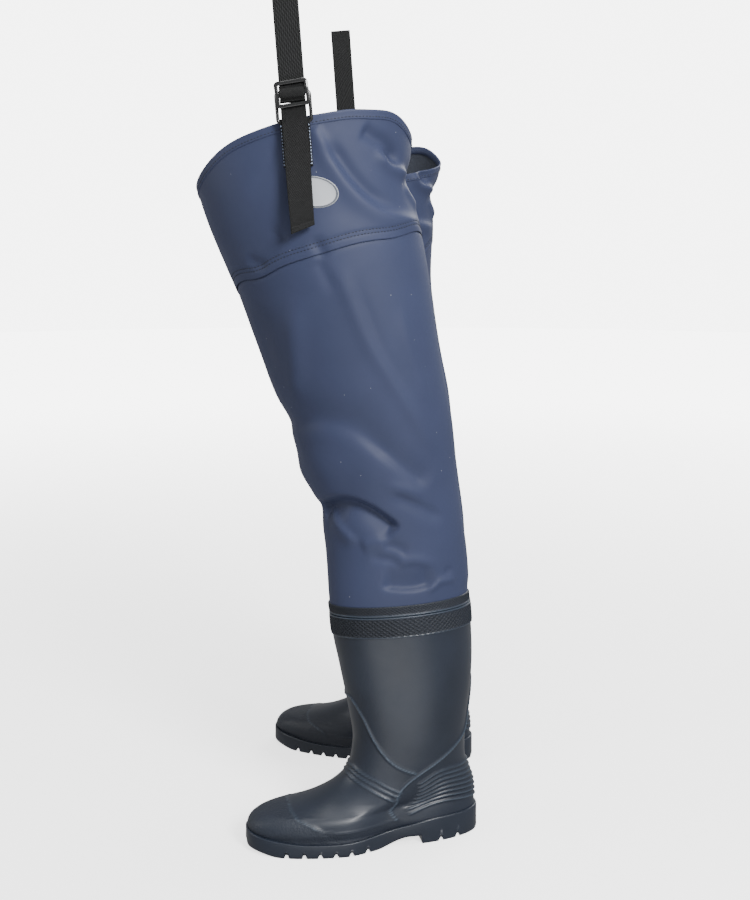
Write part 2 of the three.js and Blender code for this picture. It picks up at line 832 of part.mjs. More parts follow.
const PIECES = [
  ["outsole", outsole, "rubber"],
  ["boot_upper", bootUpper, "rubber"],
  ["boot_lining", bootLining, "lining"],
  ["insole", insole, "lining"],
  ["joint_strip", jointStrip, "weldStrip"],
  ["shin_panel", shinPanel, "fabric"],
  ["shin_seam_tape", shinSeamTape, "fabric"],
  ["knee_panel", kneePanel, "fabric"],
  ["thigh_panel", thighPanel, "fabric"],
  ["thigh_seam_tape", thighSeamTape, "fabric"],
  ["yoke_panel", yokePanel, "fabric"],
  ["seam_band", seamBand, "fabric"],
  ["top_hem", topHem, "fabric"],
  ["anchor_tab", anchorTab, "webbing"],
  ["ring", ring, "plastic"],
  ["belt_strap", beltStrap, "webbing"],
  ["strap_tail", strapTail, "webbing"],
  ["slider", slider, "plastic"],
  ["label", label, "label"],
];

const waders = new THREE.Group();
for (const [sideName, side] of [
  ["left", 1],
  ["right", -1],
]) {
  const leg = new THREE.Group();
  for (const [name, build, look] of PIECES) {
    const mesh = new THREE.Mesh(build(side), MATERIALS[look]);
    mesh.name = `${sideName}_${name}`;
    leg.add(mesh);
  }
  waders.add(leg);
}

// The pair's box is centred over the origin and stands on the floor.
const box = new THREE.Box3().setFromObject(waders, true);
const middle = box.getCenter(new THREE.Vector3());
waders.position.set(-middle.x, -middle.y, -box.min.z);

export default waders;
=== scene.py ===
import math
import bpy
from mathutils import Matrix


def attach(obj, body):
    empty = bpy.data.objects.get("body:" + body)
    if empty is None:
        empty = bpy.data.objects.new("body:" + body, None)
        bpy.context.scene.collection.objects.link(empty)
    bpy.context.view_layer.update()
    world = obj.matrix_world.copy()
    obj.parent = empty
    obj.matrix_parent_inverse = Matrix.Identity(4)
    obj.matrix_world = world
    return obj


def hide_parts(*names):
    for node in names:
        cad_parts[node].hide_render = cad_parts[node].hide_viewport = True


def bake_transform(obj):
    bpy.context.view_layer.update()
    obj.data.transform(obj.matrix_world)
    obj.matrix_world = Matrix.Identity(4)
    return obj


bl_info = {
    "name": "Hip Waders",
    "version": (1, 0, 0),
    "blender": (4, 5, 0),
    "location": "3D View > Sidebar > Waders",
    "description": "A pair of hip waders with PVC boots, coated fabric legs and belt straps",
    "category": "Add Mesh",
}

import bmesh
import bpy
import numpy as np
from mathutils import Matrix, Vector

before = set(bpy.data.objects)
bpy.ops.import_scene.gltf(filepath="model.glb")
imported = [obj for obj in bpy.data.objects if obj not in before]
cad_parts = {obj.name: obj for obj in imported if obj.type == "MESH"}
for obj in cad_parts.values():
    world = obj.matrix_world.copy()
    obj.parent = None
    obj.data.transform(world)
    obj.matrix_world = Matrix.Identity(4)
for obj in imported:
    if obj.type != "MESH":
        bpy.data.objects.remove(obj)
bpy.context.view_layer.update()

MM = 0.001
SIDES = {"left": 1, "right": -1}

# Shape of the boots and legs, in millimetres -------------------------------------------------

SHIFT = np.array([14.0, 32.744, 0.0])
TOE_OUT = math.radians(12)
SHAFT_AT = (112.0, 35.0)
LEG_TWIST = (330, 600)
RIGHT_OUT = 28
RIGHT_BACK = 12
RIGHT_TOP_BACK = 38
RIGHT_TOP_DROP = 10
RIGHT_BEND = (690, 900)

# Height, front, rear, half width of the shaft, share of shaft outline, width of the foot.
BOOT_PROFILE = np.array(
    [
        (22, -201, 97, 44, 0.0, 0.97),
        (30, -203, 98.5, 44, 0.0, 1.0),
        (38, -200, 98, 43, 0.0, 0.98),
        (44, -193, 97.5, 43, 0.0, 0.94),
        (48, -184, 97.5, 43, 0.05, 0.9),
        (51, -167, 97.5, 43, 0.1, 0.86),
        (55, -147, 97, 43, 0.22, 0.83),
        (61, -125, 96.5, 42, 0.42, 0.82),
        (72, -99, 94.5, 42, 0.68, 0.83),
        (86, -80, 89.5, 43, 0.85, 0.85),
        (102, -70, 85, 45, 0.96, 0.88),
        (122, -66, 84, 47, 1.0, 0.9),
        (140, -65, 84.5, 49, 1.0, 0.9),
        (168, -69, 87, 51.5, 1.0, 0.9),
        (200, -75, 90.5, 54, 1.0, 0.9),
        (240, -83, 92, 57.5, 1.0, 0.9),
        (278, -90.5, 90.5, 59.5, 1.0, 0.9),
        (330, -95, 86, 61, 1.0, 0.9),
    ]
)
FRONT, REAR, SHAFT_HALF, SHAFT_SHARE, FOOT_WIDTH = 1, 2, 3, 4, 5

# Height, centre X, centre Y, half width, half depth.
LEG_PROFILE = np.array(
    [
        (270, 112, 35, 59.5, 89.5),
        (300, 112, 32.5, 60, 90.5),
        (330, 112, 30, 61, 90),
        (400, 113, 24, 66, 88.5),
        (460, 115, 15, 73, 91),
        (520, 117, 0, 80, 98.5),
        (594, 119, -20.5, 87, 106.5),
        (655, 121, -36, 92, 112),
        (710, 122, -49.5, 96, 117.5),
        (758, 123, -63.5, 99, 123.5),
        (835, 124, -84.5, 101, 128.5),
        (925, 124, -89, 102, 133),
    ]
)

# Heights at the front, outer side, rear and inner side, and rises on the outer side: angle in
# degrees, how high and how wide.
BOOT_RIM = (305, 314, 313, 305), ()
YOKE_SEAM = (706, 754.5, 774, 685), ((50, -5.5, 14), (137, -6, 18))
TOP_EDGE = (826, 901, 886, 848), ((52, 3.5, 18), (118, 2.5, 12), (145, 10, 20))
BAND_HEIGHT = 28
STRIP_HEIGHT = 13.5
HEM_HEIGHT = 9
SEAM_LAP = 14
YOKE_ROWS = (8.5, 12.5)
BOOT_WALL = 3


def along(table, column, height):
    """Smooth value of a column of a profile at each height."""
    z = np.clip(np.asarray(height, float), table[0, 0], table[-1, 0])
    i = np.clip(np.searchsorted(table[:, 0], z, side="right") - 1, 0, len(table) - 2)
    k = np.arange(len(table))
    before, after = np.maximum(k - 1, 0), np.minimum(k + 1, len(table) - 1)
    slope = (table[after, column] - table[before, column]) / (table[after, 0] - table[before, 0])
    h = table[i + 1, 0] - table[i, 0]
    t = (z - table[i, 0]) / h
    t2, t3 = t * t, t * t * t
    return (
        (2 * t3 - 3 * t2 + 1) * table[i, column]
        + (t3 - 2 * t2 + t) * h * slope[i]
        + (3 * t2 - 2 * t3) * table[i + 1, column]
        + (t3 - t2) * h * slope[i + 1]
    )


def smoothstep(value, low, high):
    """0 below low, 1 above high and smooth between them."""
    t = np.clip((np.asarray(value, float) - low) / (high - low), 0, 1)
    return t * t * (3 - 2 * t)


def mix(a, b, share):
    return a + (b - a) * share


def edge_height(edge, angle):
    """Height of an edge at an angle round the leg: 0 is the front, a quarter turn the outer side."""
    (front, outer, rear, inner), rises = edge
    turn = np.degrees(angle) % 360
    risen = sum((rise * np.exp(-(((turn - at) / wide) ** 2)) for at, rise, wide in rises), 0 * turn)
    return (
        risen
        + (front + rear + outer + inner) / 4
        + (front - rear) / 2 * np.cos(angle)
        + (outer - inner) / 2 * np.sin(angle)
        + (front + rear - outer - inner) / 4 * np.cos(2 * angle)
    )


def foot_half_width(angle):
    """Half width of the foot's outline from the toe (angle 0) to the heel (half a turn)."""
    s = (1 - np.cos(angle)) / 2
    outer = np.sin(angle) > 0
    ball, heel = np.where(outer, 57, 51), np.where(outer, 47, 44)
    waist = np.where(outer, 6, 8) * np.exp(-(((s - 0.6) / 0.13) ** 2))
    return (mix(ball, heel, smoothstep(s, 0.38, 0.62)) - waist) * np.abs(np.sin(angle)) ** 0.8


def foot_to_pair(x, y, z):
    """Point of a boot's own frame in the frame of the pair."""
    return np.stack(
        [
            SHAFT_AT[0] + x * math.cos(TOE_OUT) - y * math.sin(TOE_OUT),
            SHAFT_AT[1] + x * math.sin(TOE_OUT) + y * math.cos(TOE_OUT),
            np.broadcast_to(z, np.shape(x)).astype(float),
        ],
        -1,
    )


def boot_point(angle, z, out=0.0):
    """Point on the left boot's outer surface, moved outwards."""
    front = along(BOOT_PROFILE, FRONT, z) - out
    rear = along(BOOT_PROFILE, REAR, z) + out
    widest = along(BOOT_PROFILE, SHAFT_HALF, z)
    foot = foot_half_width(angle) * along(BOOT_PROFILE, FOOT_WIDTH, z)
    shaft = np.abs(np.sin(angle)) * widest
    width = mix(foot, shaft, along(BOOT_PROFILE, SHAFT_SHARE, z))
    x = np.maximum(width * (1 + out / widest), 0) * np.sign(np.sin(angle))
    y = (front + rear) / 2 - (rear - front) / 2 * np.cos(angle)
    return foot_to_pair(x, y, z)


def leg_point(angle, z, out=0.0):
    """Point on the left leg's outer surface, moved outwards."""
    half_width = along(LEG_PROFILE, 3, z) + out
    half_depth = along(LEG_PROFILE, 4, z) + out
    twist = TOE_OUT * (1 - smoothstep(z, *LEG_TWIST))
    x, y = half_width * np.sin(angle), -half_depth * np.cos(angle)
    return np.stack(
        [
            along(LEG_PROFILE, 1, z) + x * np.cos(twist) - y * np.sin(twist),
            along(LEG_PROFILE, 2, z) + x * np.sin(twist) + y * np.cos(twist),
            np.broadcast_to(z, np.shape(x)).astype(float),
        ],
        -1,
    )


def on_side(points, side):
    """The right leg is the left one mirrored, a little further out and back, leaning back at the top."""
    if side > 0:
        return points
    up = smoothstep(points[..., 2], *RIGHT_BEND)
    return np.stack(
        [
            -points[..., 0] - RIGHT_OUT,
            points[..., 1] + RIGHT_BACK + RIGHT_TOP_BACK * up,
            points[..., 2] - RIGHT_TOP_DROP * up,
        ],
        -1,
    )


def in_metres(points):
    """Points of the pair, moved to the frame's origin."""
    return (points + SHIFT) * MM


# Lines and folds ------------------------------------------------------------------------------


def smooth_line(points, steps=8):
    """Points of a smooth line through a few points."""
    p = np.asarray(points, float)
    p = np.vstack([2 * p[0] - p[1], p, 2 * p[-1] - p[-2]])
    line = []
    for a, b, c, d in zip(p, p[1:], p[2:], p[3:]):
        for t in np.arange(steps) / steps:
            line.append(
                0.5
                * (
                    2 * b
                    + (c - a) * t
                    + (2 * a - 5 * b + 4 * c - d) * t * t
                    + (3 * b - a - 3 * c + d) * t**3
                )
            )
    return np.array([*line, p[-2]])


def from_line(points, line, reach):
    """Of each point: distance to the line, whether it lies above it, and how far along it lies."""
    distance = np.full(len(points), np.inf)
    above = np.zeros(len(points), bool)
    share = np.zeros(len(points))
    near = np.all((points > line.min(0) - reach) & (points < line.max(0) + reach), axis=1)
    chosen = points[near]
    if len(chosen):
        best, at = np.full(len(chosen), np.inf), np.zeros(len(chosen))
        over = np.zeros(len(chosen), bool)
        for i, (a, b) in enumerate(zip(line, line[1:])):
            d = b - a
            t = np.clip((chosen - a) @ d / max(d @ d, 1e-9), 0, 1)
            foot = a + t[:, None] * d
            gap = np.linalg.norm(chosen - foot, axis=1)
            closer = gap < best
            best = np.where(closer, gap, best)
            over = np.where(closer, chosen[:, 2] > foot[:, 2], over)
            at = np.where(closer, (i + t) / (len(line) - 1), at)
        distance[near], above[near], share[near] = best, over, at
    return distance, above, share


def taper(share, start, end):
    """1 along a line, falling to 0 towards its ends."""
    rise = smoothstep(share, 0, start) if start else 1.0
    fall = 1 - smoothstep(share, 1 - end, 1) if end else 1.0
    return rise * fall


# Folds of a leg: line of (angle in degrees, height), how far it stands out, how far it spreads
# above and below the line, and the shares of its length over which it fades in and out.
LEG_FOLDS = [
    (
        [(-50, 554), (-10, 549), (30, 553), (55, 562), (76, 557), (92, 538), (108, 510)],
        -5.0, 23, 13, 0.35, 0.25,
    ),
    ([(80, 550), (95, 524), (108, 500), (124, 478)], -3.8, 14, 8, 0.35, 0.2),
    ([(-60, 458), (-25, 448), (10, 443), (35, 452), (60, 455)], -4.0, 9, 20, 0.4, 0.3),
    ([(6, 444), (20, 449), (34, 455), (51, 459), (66, 453), (79, 438), (89, 423)], -11.0, 5, 18, 0.12, 0.1),
    ([(14, 447), (31, 433), (45, 416), (53, 404)], 3.4, 5, 12, 0.2, 0.3),
    ([(53, 404), (67, 409), (82, 417)], 2.6, 7, 10, 0.3, 0.4),
    ([(86, 471), (100, 461), (117, 446), (132, 431)], -3.0, 6, 10, 0.3, 0.3),
    ([(84, 484), (100, 476), (118, 461)], 2.0, 7, 9, 0.4, 0.4),
    ([(72, 405), (84, 402), (94, 390)], -2.6, 8, 4, 0.3, 0.3),
    ([(60, 388), (76, 386), (88, 377)], -2.4, 6, 5, 0.3, 0.3),
    ([(66, 354), (80, 351), (98, 350), (117, 358)], -6.0, 22, 4, 0.25, 0.2),
    ([(72, 377), (97, 385), (118, 371)], 2.2, 7, 6, 0.35, 0.35),
    ([(104, 338), (117, 354), (140, 352)], 2.4, 4, 5, 0.3, 0.3),
    ([(121, 365), (134, 367)], -1.6, 4, 4, 0.4, 0.4),
    (
        [(96, 748), (99, 705), (104, 655), (113, 612), (124, 565), (131, 532), (137, 508)],
        2.0, 13, 9, 0.15, 0.3,
    ),
    ([(104, 735), (108, 690), (112, 650), (120, 610), (129, 568)], -1.3, 7, 9, 0.25, 0.3),
    ([(130, 700), (131, 650), (137, 600), (142, 560)], 1.8, 10, 12, 0.3, 0.4),
    ([(88, 748), (90, 728), (92, 705)], -1.5, 7, 7, 0.1, 0.5),
    ([(68, 715), (60, 660), (51, 610), (38, 572)], 3.4, 14, 14, 0.3, 0.3),
    ([(38, 700), (30, 650), (24, 600)], -3.0, 22, 22, 0.3, 0.3),
    ([(235, 565), (262, 524), (298, 505), (330, 512)], -6.0, 12, 16, 0.3, 0.3),
    ([(228, 470), (262, 455), (300, 452)], -6.5, 6, 16, 0.25, 0.2),
    ([(238, 415), (262, 398), (290, 402), (318, 390)], -4.5, 6, 14, 0.3, 0.3),
    ([(250, 362), (272, 352), (296, 350)], -3.6, 14, 5, 0.3, 0.3),
    ([(212, 520), (228, 500), (246, 492)], -4.0, 8, 8, 0.35, 0.35),
    ([(252, 668), (262, 610), (284, 556)], 3.6, 12, 12, 0.25, 0.3),
    ([(284, 650), (296, 600), (322, 560)], -3.4, 12, 10, 0.3, 0.3),
    ([(210, 740), (222, 680), (236, 620)], 3.2, 12, 12, 0.2, 0.3),
    (
        [
            (97, 893), (101, 880), (107, 857), (112, 838), (118, 821),
            (124, 809), (134, 799), (152, 794), (176, 790),
        ],
        3.6, 7, 13, 0.06, 0.12,
    ),
    ([(104, 880), (112, 858), (120, 836), (130, 818), (146, 806)], -3.2, 8, 8, 0.2, 0.3),
    ([(124, 893), (132, 884), (140, 878), (147, 866), (150, 852)], -4.2, 8, 9, 0.1, 0.3),
    ([(132, 872), (142, 855), (155, 848), (171, 844)], 4.2, 6, 8, 0.25, 0.25),
    ([(152, 838), (180, 843), (206, 838)], -6.5, 15, 17, 0.3, 0.3),
    ([(158, 836), (166, 822), (176, 804)], 3.0, 8, 8, 0.3, 0.3),
    ([(85, 876), (76, 851), (60, 811)], -1.8, 12, 12, 0.3, 0.4),
    ([(68, 786), (76, 768)], -2.0, 6, 6, 0.4, 0.4),
    ([(44, 752), (52, 744), (60, 742)], -2.0, 7, 7, 0.4, 0.4),
    ([(89, 776), (91, 760), (93, 746)], -2.6, 7, 7, 0.3, 0.4),
    ([(248, 838), (262, 790), (286, 752)], -4.5, 12, 12, 0.2, 0.3),
    ([(284, 836), (300, 790), (316, 752)], 3.6, 12, 12, 0.2, 0.3),
    ([(216, 862), (232, 820), (240, 770)], 3.6, 10, 12, 0.2, 0.3),
]
# Domes of a leg: angle in degrees, height, how far out, how wide.
LEG_DOMES = [
    (2, 485, 4.6, 24),
    (36, 494, 4.5, 34),
    (82, 488, 2.2, 26),
    (340, 484, 4.0, 30),
    (6, 552, -1.2, 20),
    (146, 862, -2.6, 13),
    (20, 780, 1.6, 40),
    (180, 560, 2.0, 40),
    (178, 372, 3.0, 55),
]


def fold(angle, z, side, depth=1.0):
    """How far the fabric stands out at each angle and height. The right leg folds the other way round."""
    shape = np.shape(angle + z)
    turn = np.broadcast_to(np.asarray(angle) * side, shape).ravel()
    height = np.broadcast_to(z, shape).ravel()
    points = leg_point(turn, height)
    out = np.zeros(len(points))
    for route, rise, above, below, start, end in LEG_FOLDS:
        path = smooth_line(route, 4)
        line = leg_point(np.radians(path[:, 0]), path[:, 1])
        gap, over, share = from_line(points, line, 2.6 * max(above, below))
        spread = np.where(over, above, below)
        out += rise * np.exp(-np.minimum((gap / spread) ** 2, 60)) * taper(share, start, end)
    for at, level, rise, spread in LEG_DOMES:
        centre = leg_point(np.radians(at), np.array(level, float))
        gap = np.linalg.norm(points - centre, axis=1)
        out += rise * np.exp(-np.minimum((gap / spread) ** 2, 60))
    around = (np.degrees(turn * side) - 90 + 180) % 360 - 180
    under_strap = np.exp(-((around / 9.0) ** 4)) * smoothstep(height, 770, 800)
    free = smoothstep(height - edge_height(BOOT_RIM, turn), 14, 34)
    return (out * (1 - under_strap) * free * depth).reshape(shape)


def fabric_point(angle, z, side, out=0.0):
    depth = bpy.context.scene.wader_fabric.fold_depth
    return on_side(leg_point(angle, z, out + fold(angle, z, side, depth)), side)


# Mesh helpers ---------------------------------------------------------------------------------


def grid_mesh(name, columns, rows, place, size=(1.0, 1.0), close=False, values=None):
    """A sheet of columns and rows that place(u, v) puts in space, in millimetres. Its UV map is
    in metres: size gives the lengths that u and v stand for."""
    sheet = bmesh.new()
    sheet.loops.layers.uv.new("UVMap")
    bmesh.ops.create_grid(sheet, x_segments=columns, y_segments=rows, size=0.5, calc_uvs=True)
    mesh = bpy.data.meshes.new(name)
    sheet.to_mesh(mesh)
    sheet.free()
    flat = np.empty(len(mesh.vertices) * 3)
    mesh.vertices.foreach_get("co", flat)
    flat = flat.reshape(-1, 3)
    u, v = np.round(flat[:, 0] + 0.5, 6), np.round(flat[:, 1] + 0.5, 6)
    mesh.vertices.foreach_set("co", in_metres(place(u, v)).ravel())
    layer = mesh.uv_layers[0].data
    uv = np.empty(len(layer) * 2)
    layer.foreach_get("uv", uv)
    uv = (uv.reshape(-1, 2) * np.array(size)).ravel()
    layer.foreach_set("uv", uv)
    for key, function in (values or {}).items():
        attribute = mesh.attributes.new(key, "FLOAT", "POINT")
        attribute.data.foreach_set("value", function(u, v).astype(np.float32))
    tidy_mesh(mesh, close)
    return mesh


def tidy_mesh(mesh, close=False):
    """Merges the seams and poles, closes open ends if asked, and turns the faces outwards."""
    shape = bmesh.new()
    shape.from_mesh(mesh)
    bmesh.ops.remove_doubles(shape, verts=shape.verts, dist=2e-6)
    bmesh.ops.dissolve_degenerate(shape, edges=shape.edges, dist=1e-7)
    if close:
        open_edges = [e for e in shape.edges if e.is_boundary]
        bmesh.ops.holes_fill(shape, edges=open_edges, sides=0)
    bmesh.ops.recalc_face_normals(shape, faces=shape.faces)
    shape.to_mesh(mesh)
    shape.free()
    mesh.shade_smooth()
    mesh.update()


def add_piece(name, mesh, material, body=None, inside=None):
    """A new object that rides on a body, with its finish, and one for its inside if it has one."""
    piece = bpy.data.objects.new(name, mesh)
    bpy.context.scene.collection.objects.link(piece)
    mesh.materials.clear()
    mesh.materials.append(material)
    if inside is not None:
        mesh.materials.append(inside)
    if body:
        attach(piece, body)
    return piece


def add_wall(piece, thickness, two_sided=False):
    """Gives a sheet its thickness, towards the inside."""
    wall = piece.modifiers.new("Wall", "SOLIDIFY")
    wall.thickness = thickness * MM
    wall.offset = -1
    wall.use_even_offset = False
    if two_sided:
        wall.material_offset = 1


def blend_at_knee(piece):
    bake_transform(piece)


def apply_modifiers(piece):
    """Leaves the piece as the mesh that its modifiers make."""
    bpy.context.view_layer.update()
    made = bpy.data.meshes.new_from_object(piece.evaluated_get(bpy.context.evaluated_depsgraph_get()))
    piece.modifiers.clear()
    old = piece.data
    piece.data = made
    bpy.data.meshes.remove(old)


def need(objects, what):
    if not objects:
        raise RuntimeError(f"no {what} was made")


# Materials ------------------------------------------------------------------------------------


class Value:
    """A number that varies over a surface. Arithmetic on it adds Math nodes."""

    def __init__(self, shader, socket):
        self.shader = shader
        self.socket = socket

    def math(self, operation, *others):
        inputs = dict(enumerate((self, *others)))
        node = self.shader.node("ShaderNodeMath", {"operation": operation}, inputs)
        return Value(self.shader, node.outputs[0])

    def _reflected(self, operation, other):
        node = self.shader.node("ShaderNodeMath", {"operation": operation}, {0: other, 1: self})
        return Value(self.shader, node.outputs[0])

    def __add__(self, other):
        return self.math("ADD", other)

    __radd__ = __add__

    def __sub__(self, other):
        return self.math("SUBTRACT", other)

    def __rsub__(self, other):
        return self._reflected("SUBTRACT", other)

    def __mul__(self, other):
        return self.math("MULTIPLY", other)

    __rmul__ = __mul__

    def __gt__(self, other):
        return self.math("GREATER_THAN", other)

    def __lt__(self, other):
        return self.math("LESS_THAN", other)

    def sine(self):
        return self.math("SINE")

    def ramp(self, low, high, to_low=0.0, to_high=1.0):
        """Smooth step of this value between two of its values."""
        node = self.shader.node(
            "ShaderNodeMapRange",
            {"interpolation_type": "SMOOTHSTEP"},
            {"Value": self, "From Min": low, "From Max": high, "To Min": to_low, "To Max": to_high},
        )
        return Value(self.shader, node.outputs[0])


class Shader:
    """Makes a material's nodes."""

    def __init__(self, name):
        self.material = bpy.data.materials.new(name)
        self.material.use_nodes = True
        self.tree = self.material.node_tree
        self.tree.nodes.clear()
        self.surface = self.tree.nodes.new("ShaderNodeBsdfPrincipled")
        output = self.tree.nodes.new("ShaderNodeOutputMaterial")
        self.tree.links.new(self.surface.outputs[0], output.inputs[0])

    def node(self, kind, settings=None, inputs=None):
        node = self.tree.nodes.new(kind)
        for key, value in (settings or {}).items():
            setattr(node, key, value)
        for key, value in (inputs or {}).items():
            self.put(node.inputs[key], value)
        return node

    def put(self, socket, value):
        if isinstance(value, Value):
            self.tree.links.new(value.socket, socket)
        elif isinstance(value, bpy.types.NodeSocket):
            self.tree.links.new(value, socket)
        else:
            socket.default_value = value

    def coordinates(self, kind="Object"):
        return self.node("ShaderNodeTexCoord").outputs[kind]

    def axis(self, vector):
        """The three numbers of a vector."""
        split = self.node("ShaderNodeSeparateXYZ", None, {0: vector})
        return [Value(self, socket) for socket in split.outputs]

    def noise(self, vector, scale, detail=2.0, roughness=0.5):
        inputs = {"Vector": vector, "Scale": scale, "Detail": detail, "Roughness": roughness}
        return Value(self, self.node("ShaderNodeTexNoise", None, inputs).outputs[0])

    def cells(self, vector, scale):
        inputs = {"Vector": vector, "Scale": scale}
        return Value(self, self.node("ShaderNodeTexVoronoi", None, inputs).outputs[0])

    def attribute(self, name):
        node = self.node("ShaderNodeAttribute", {"attribute_name": name})
        return Value(self, node.outputs["Fac"])

    def colours(self, factor, first, second):
        node = self.node(
            "ShaderNodeMix", {"data_type": "RGBA"}, {0: factor, 6: first, 7: second}
        )
        return node.outputs[2]

    def bump(self, height, distance, strength=1.0, after=None):
        inputs = {"Height": height, "Distance": distance, "Strength": strength}
        if after is not None:
            inputs["Normal"] = after
        return self.node("ShaderNodeBump", None, inputs).outputs[0]

    def finish(self, **sockets):
        for key, value in sockets.items():
            self.put(self.surface.inputs[key.replace("_", " ").title().replace("Ior", "IOR")], value)
        return self.material


def rgb(colour, gain=1.0):
    return (*(min(c * gain, 1.0) for c in colour[:3]), 1.0)


FINISHES = {}


def finish_of(name, make):
    if name not in FINISHES:
        FINISHES[name] = make(name)
    return FINISHES[name]


def leg_cloth(name):
    """PVC-coated cloth: a fine weave under a satin coat, cloudy over a hand's width, a little dust."""
    settings = bpy.context.scene.wader_fabric
    s = Shader(name)
    place = s.coordinates()
    cloud = s.noise(place, 7, 3)
    patch = s.noise(place, 34, 2)
    grain = s.noise(place, 900, 2, 0.7)
    speck = s.cells(place, 60) < 0.035
    lighter = s.colours(cloud.ramp(0.3, 0.7), rgb(settings.colour, 0.93), rgb(settings.colour, 1.07))
    dusty = s.colours(speck * 0.35, lighter, rgb((0.5, 0.52, 0.55)))
    rough = 0.58 + (patch - 0.5) * 0.14 + (grain - 0.5) * 0.08
    soft = s.bump(patch, 0.0012, 0.3)
    return s.finish(
        base_color=dusty,
        roughness=rough,
        normal=s.bump(grain, 0.00012, 0.5, soft),
        specular_ior_level=0.26,
    )


def knit_backing(name):
    """Uncoated inside of the cloth: a fine grid of knitted loops."""
    settings = bpy.context.scene.wader_fabric
    s = Shader(name)
    u, v, _ = s.axis(s.coordinates("UV"))
    loops = (u * (math.tau / 0.0016)).sine() * (v * (math.tau / 0.0013)).sine()
    cloud = s.noise(s.coordinates(), 9, 3)
    shade = (loops * 0.12 + cloud).ramp(0.2, 0.9)
    return s.finish(
        base_color=s.colours(shade, rgb(settings.inside_colour, 0.85), rgb(settings.inside_colour, 1.15)),
        roughness=0.9 - cloud * 0.08,
        normal=s.bump(loops, 0.00025, 0.6),
    )


def boot_rubber(name):
    """Moulded PVC with a satin skin; the toe cap and the strip over the sole are stippled."""
    settings = bpy.context.scene.wader_boot
    s = Shader(name)
    place = s.coordinates()
    cloud = s.noise(place, 11, 3)
    wear = s.noise(place, 60, 4, 0.6)
    skin = s.noise(place, 700, 2)
    stipple = s.cells(place, 420)
    stippled = s.attribute("stipple")
    groove = s.attribute("groove")
    tone = s.colours(cloud.ramp(0.3, 0.7), rgb(settings.colour, 0.86), rgb(settings.colour, 1.16))
    # Painted shade: in the hollows of the knurls, where the groove attribute is 1, the PVC is darkened
    # towards black.
    tone = s.colours(groove * 0.5, tone, rgb((0.001, 0.0015, 0.002)))
    # Painted highlight: the tops of the raised lines, the band's lips and the strip's lower bead are
    # lightened towards a pale blue.
    tone = s.colours(s.attribute("rubbed") * 0.6, tone, rgb(settings.rubbed_colour))
    rough = settings.roughness + (cloud - 0.5) * 0.12 + (wear - 0.5) * 0.12 + stippled * 0.12
    rough = rough + groove * 0.4
    relief = skin * 0.25 + stipple * stippled * 2.2
    return s.finish(
        base_color=tone,
        roughness=rough,
        normal=s.bump(relief, 0.0003, 0.5),
        specular_ior_level=0.5,
    )


def webbing_weave(name):
    """Black twill webbing: slanting ribs of crossing yarns, greyer on the ribs."""
    settings = bpy.context.scene.wader_strap
    s = Shader(name)
    u, v, _ = s.axis(s.coordinates("UV"))
    rib = ((u * 1.2 + v) * (math.tau / settings.rib_pitch)).sine()
    yarn = ((v - u * 0.3) * (math.tau / (settings.rib_pitch * 0.45))).sine()
    weave = rib * 0.6 + yarn * 0.4
    fuzz = s.noise(s.coordinates(), 1600, 2)
    shade = (weave * 0.4 + fuzz * 0.7).ramp(0.1, 0.75)
    return s.finish(
        base_color=s.colours(shade, rgb(settings.webbing_colour, 0.6), rgb(settings.webbing_colour, 2.6)),
        roughness=0.72 + fuzz * 0.16,
        specular_ior_level=0.2,
        normal=s.bump(weave + fuzz * 0.4, 0.0004, 0.8),
    )


def buckle_gloss(name):
    """Injection-moulded black plastic, glossy with a faint orange peel."""
    settings = bpy.context.scene.wader_strap
    s = Shader(name)
    place = s.coordinates()
    peel = s.noise(place, 260, 2)
    wear = s.noise(place, 900, 3)
    darker, lighter = rgb(settings.plastic_colour, 0.8), rgb(settings.plastic_colour, 1.8)
    return s.finish(
        base_color=s.colours(wear.ramp(0.35, 0.8), darker, lighter),
        roughness=0.16 + wear * 0.1,
        normal=s.bump(peel, 0.0002, 0.3),
        coat_weight=0.5,
    )


def sewing_thread(name):
    """Twisted thread."""
    settings = bpy.context.scene.wader_fabric
    s = Shader(name)
    x, y, z = s.axis(s.coordinates())
    twist = ((x + y + z) * (math.tau / 0.0009)).sine()
    colour = settings.light_thread if "light" in name else settings.dark_thread
    return s.finish(
        base_color=s.colours(twist.ramp(-1, 1), rgb(colour, 0.7), rgb(colour, 1.2)),
        roughness=0.7,
    )


def label_print(name):
    """Plain printed oval: a pale field inside a narrow slate rim."""
    settings = bpy.context.scene.wader_strap
    s = Shader(name)
    _, v, _ = s.axis(s.coordinates("UV"))
    rim = (v > 0.88) * (v < 0.96)
    printed = s.colours(rim, rgb(settings.label_field), rgb(settings.label_rim))
    worn = s.noise(s.coordinates(), 500, 3)
    return s.finish(
        base_color=s.colours(worn.ramp(0.55, 0.8) * 0.25, printed, rgb((0.45, 0.47, 0.52))),
        roughness=0.38 + worn * 0.15,
        normal=s.bump(worn, 0.0001, 0.4),
    )


def studio_floor(name):
    """Pale floor that gets as light as the backdrop where the two meet."""
    settings = bpy.context.scene.wader_stage
    s = Shader(name)
    place = s.coordinates()
    x, y, _ = s.axis(place)
    away = ((x * x) + (y * y)).math("SQRT").ramp(0.3, 4.5, 0.32, 1.0)
    return s.finish(
        base_color=rgb(settings.floor_colour),
        roughness=0.85,
        emission_color=s.colours(away, rgb((0, 0, 0)), rgb((1, 1, 1))),
        emission_strength=settings.backdrop_glow,
    )


def studio_backdrop(name):
    """Even white glow."""
    settings = bpy.context.scene.wader_stage
    s = Shader(name)
    return s.finish(
        base_color=rgb((0, 0, 0)),
        roughness=1.0,
        specular_ior_level=0.0,
        emission_color=rgb((1, 1, 1)),
        emission_strength=settings.backdrop_glow,
    )


# Settings -------------------------------------------------------------------------------------


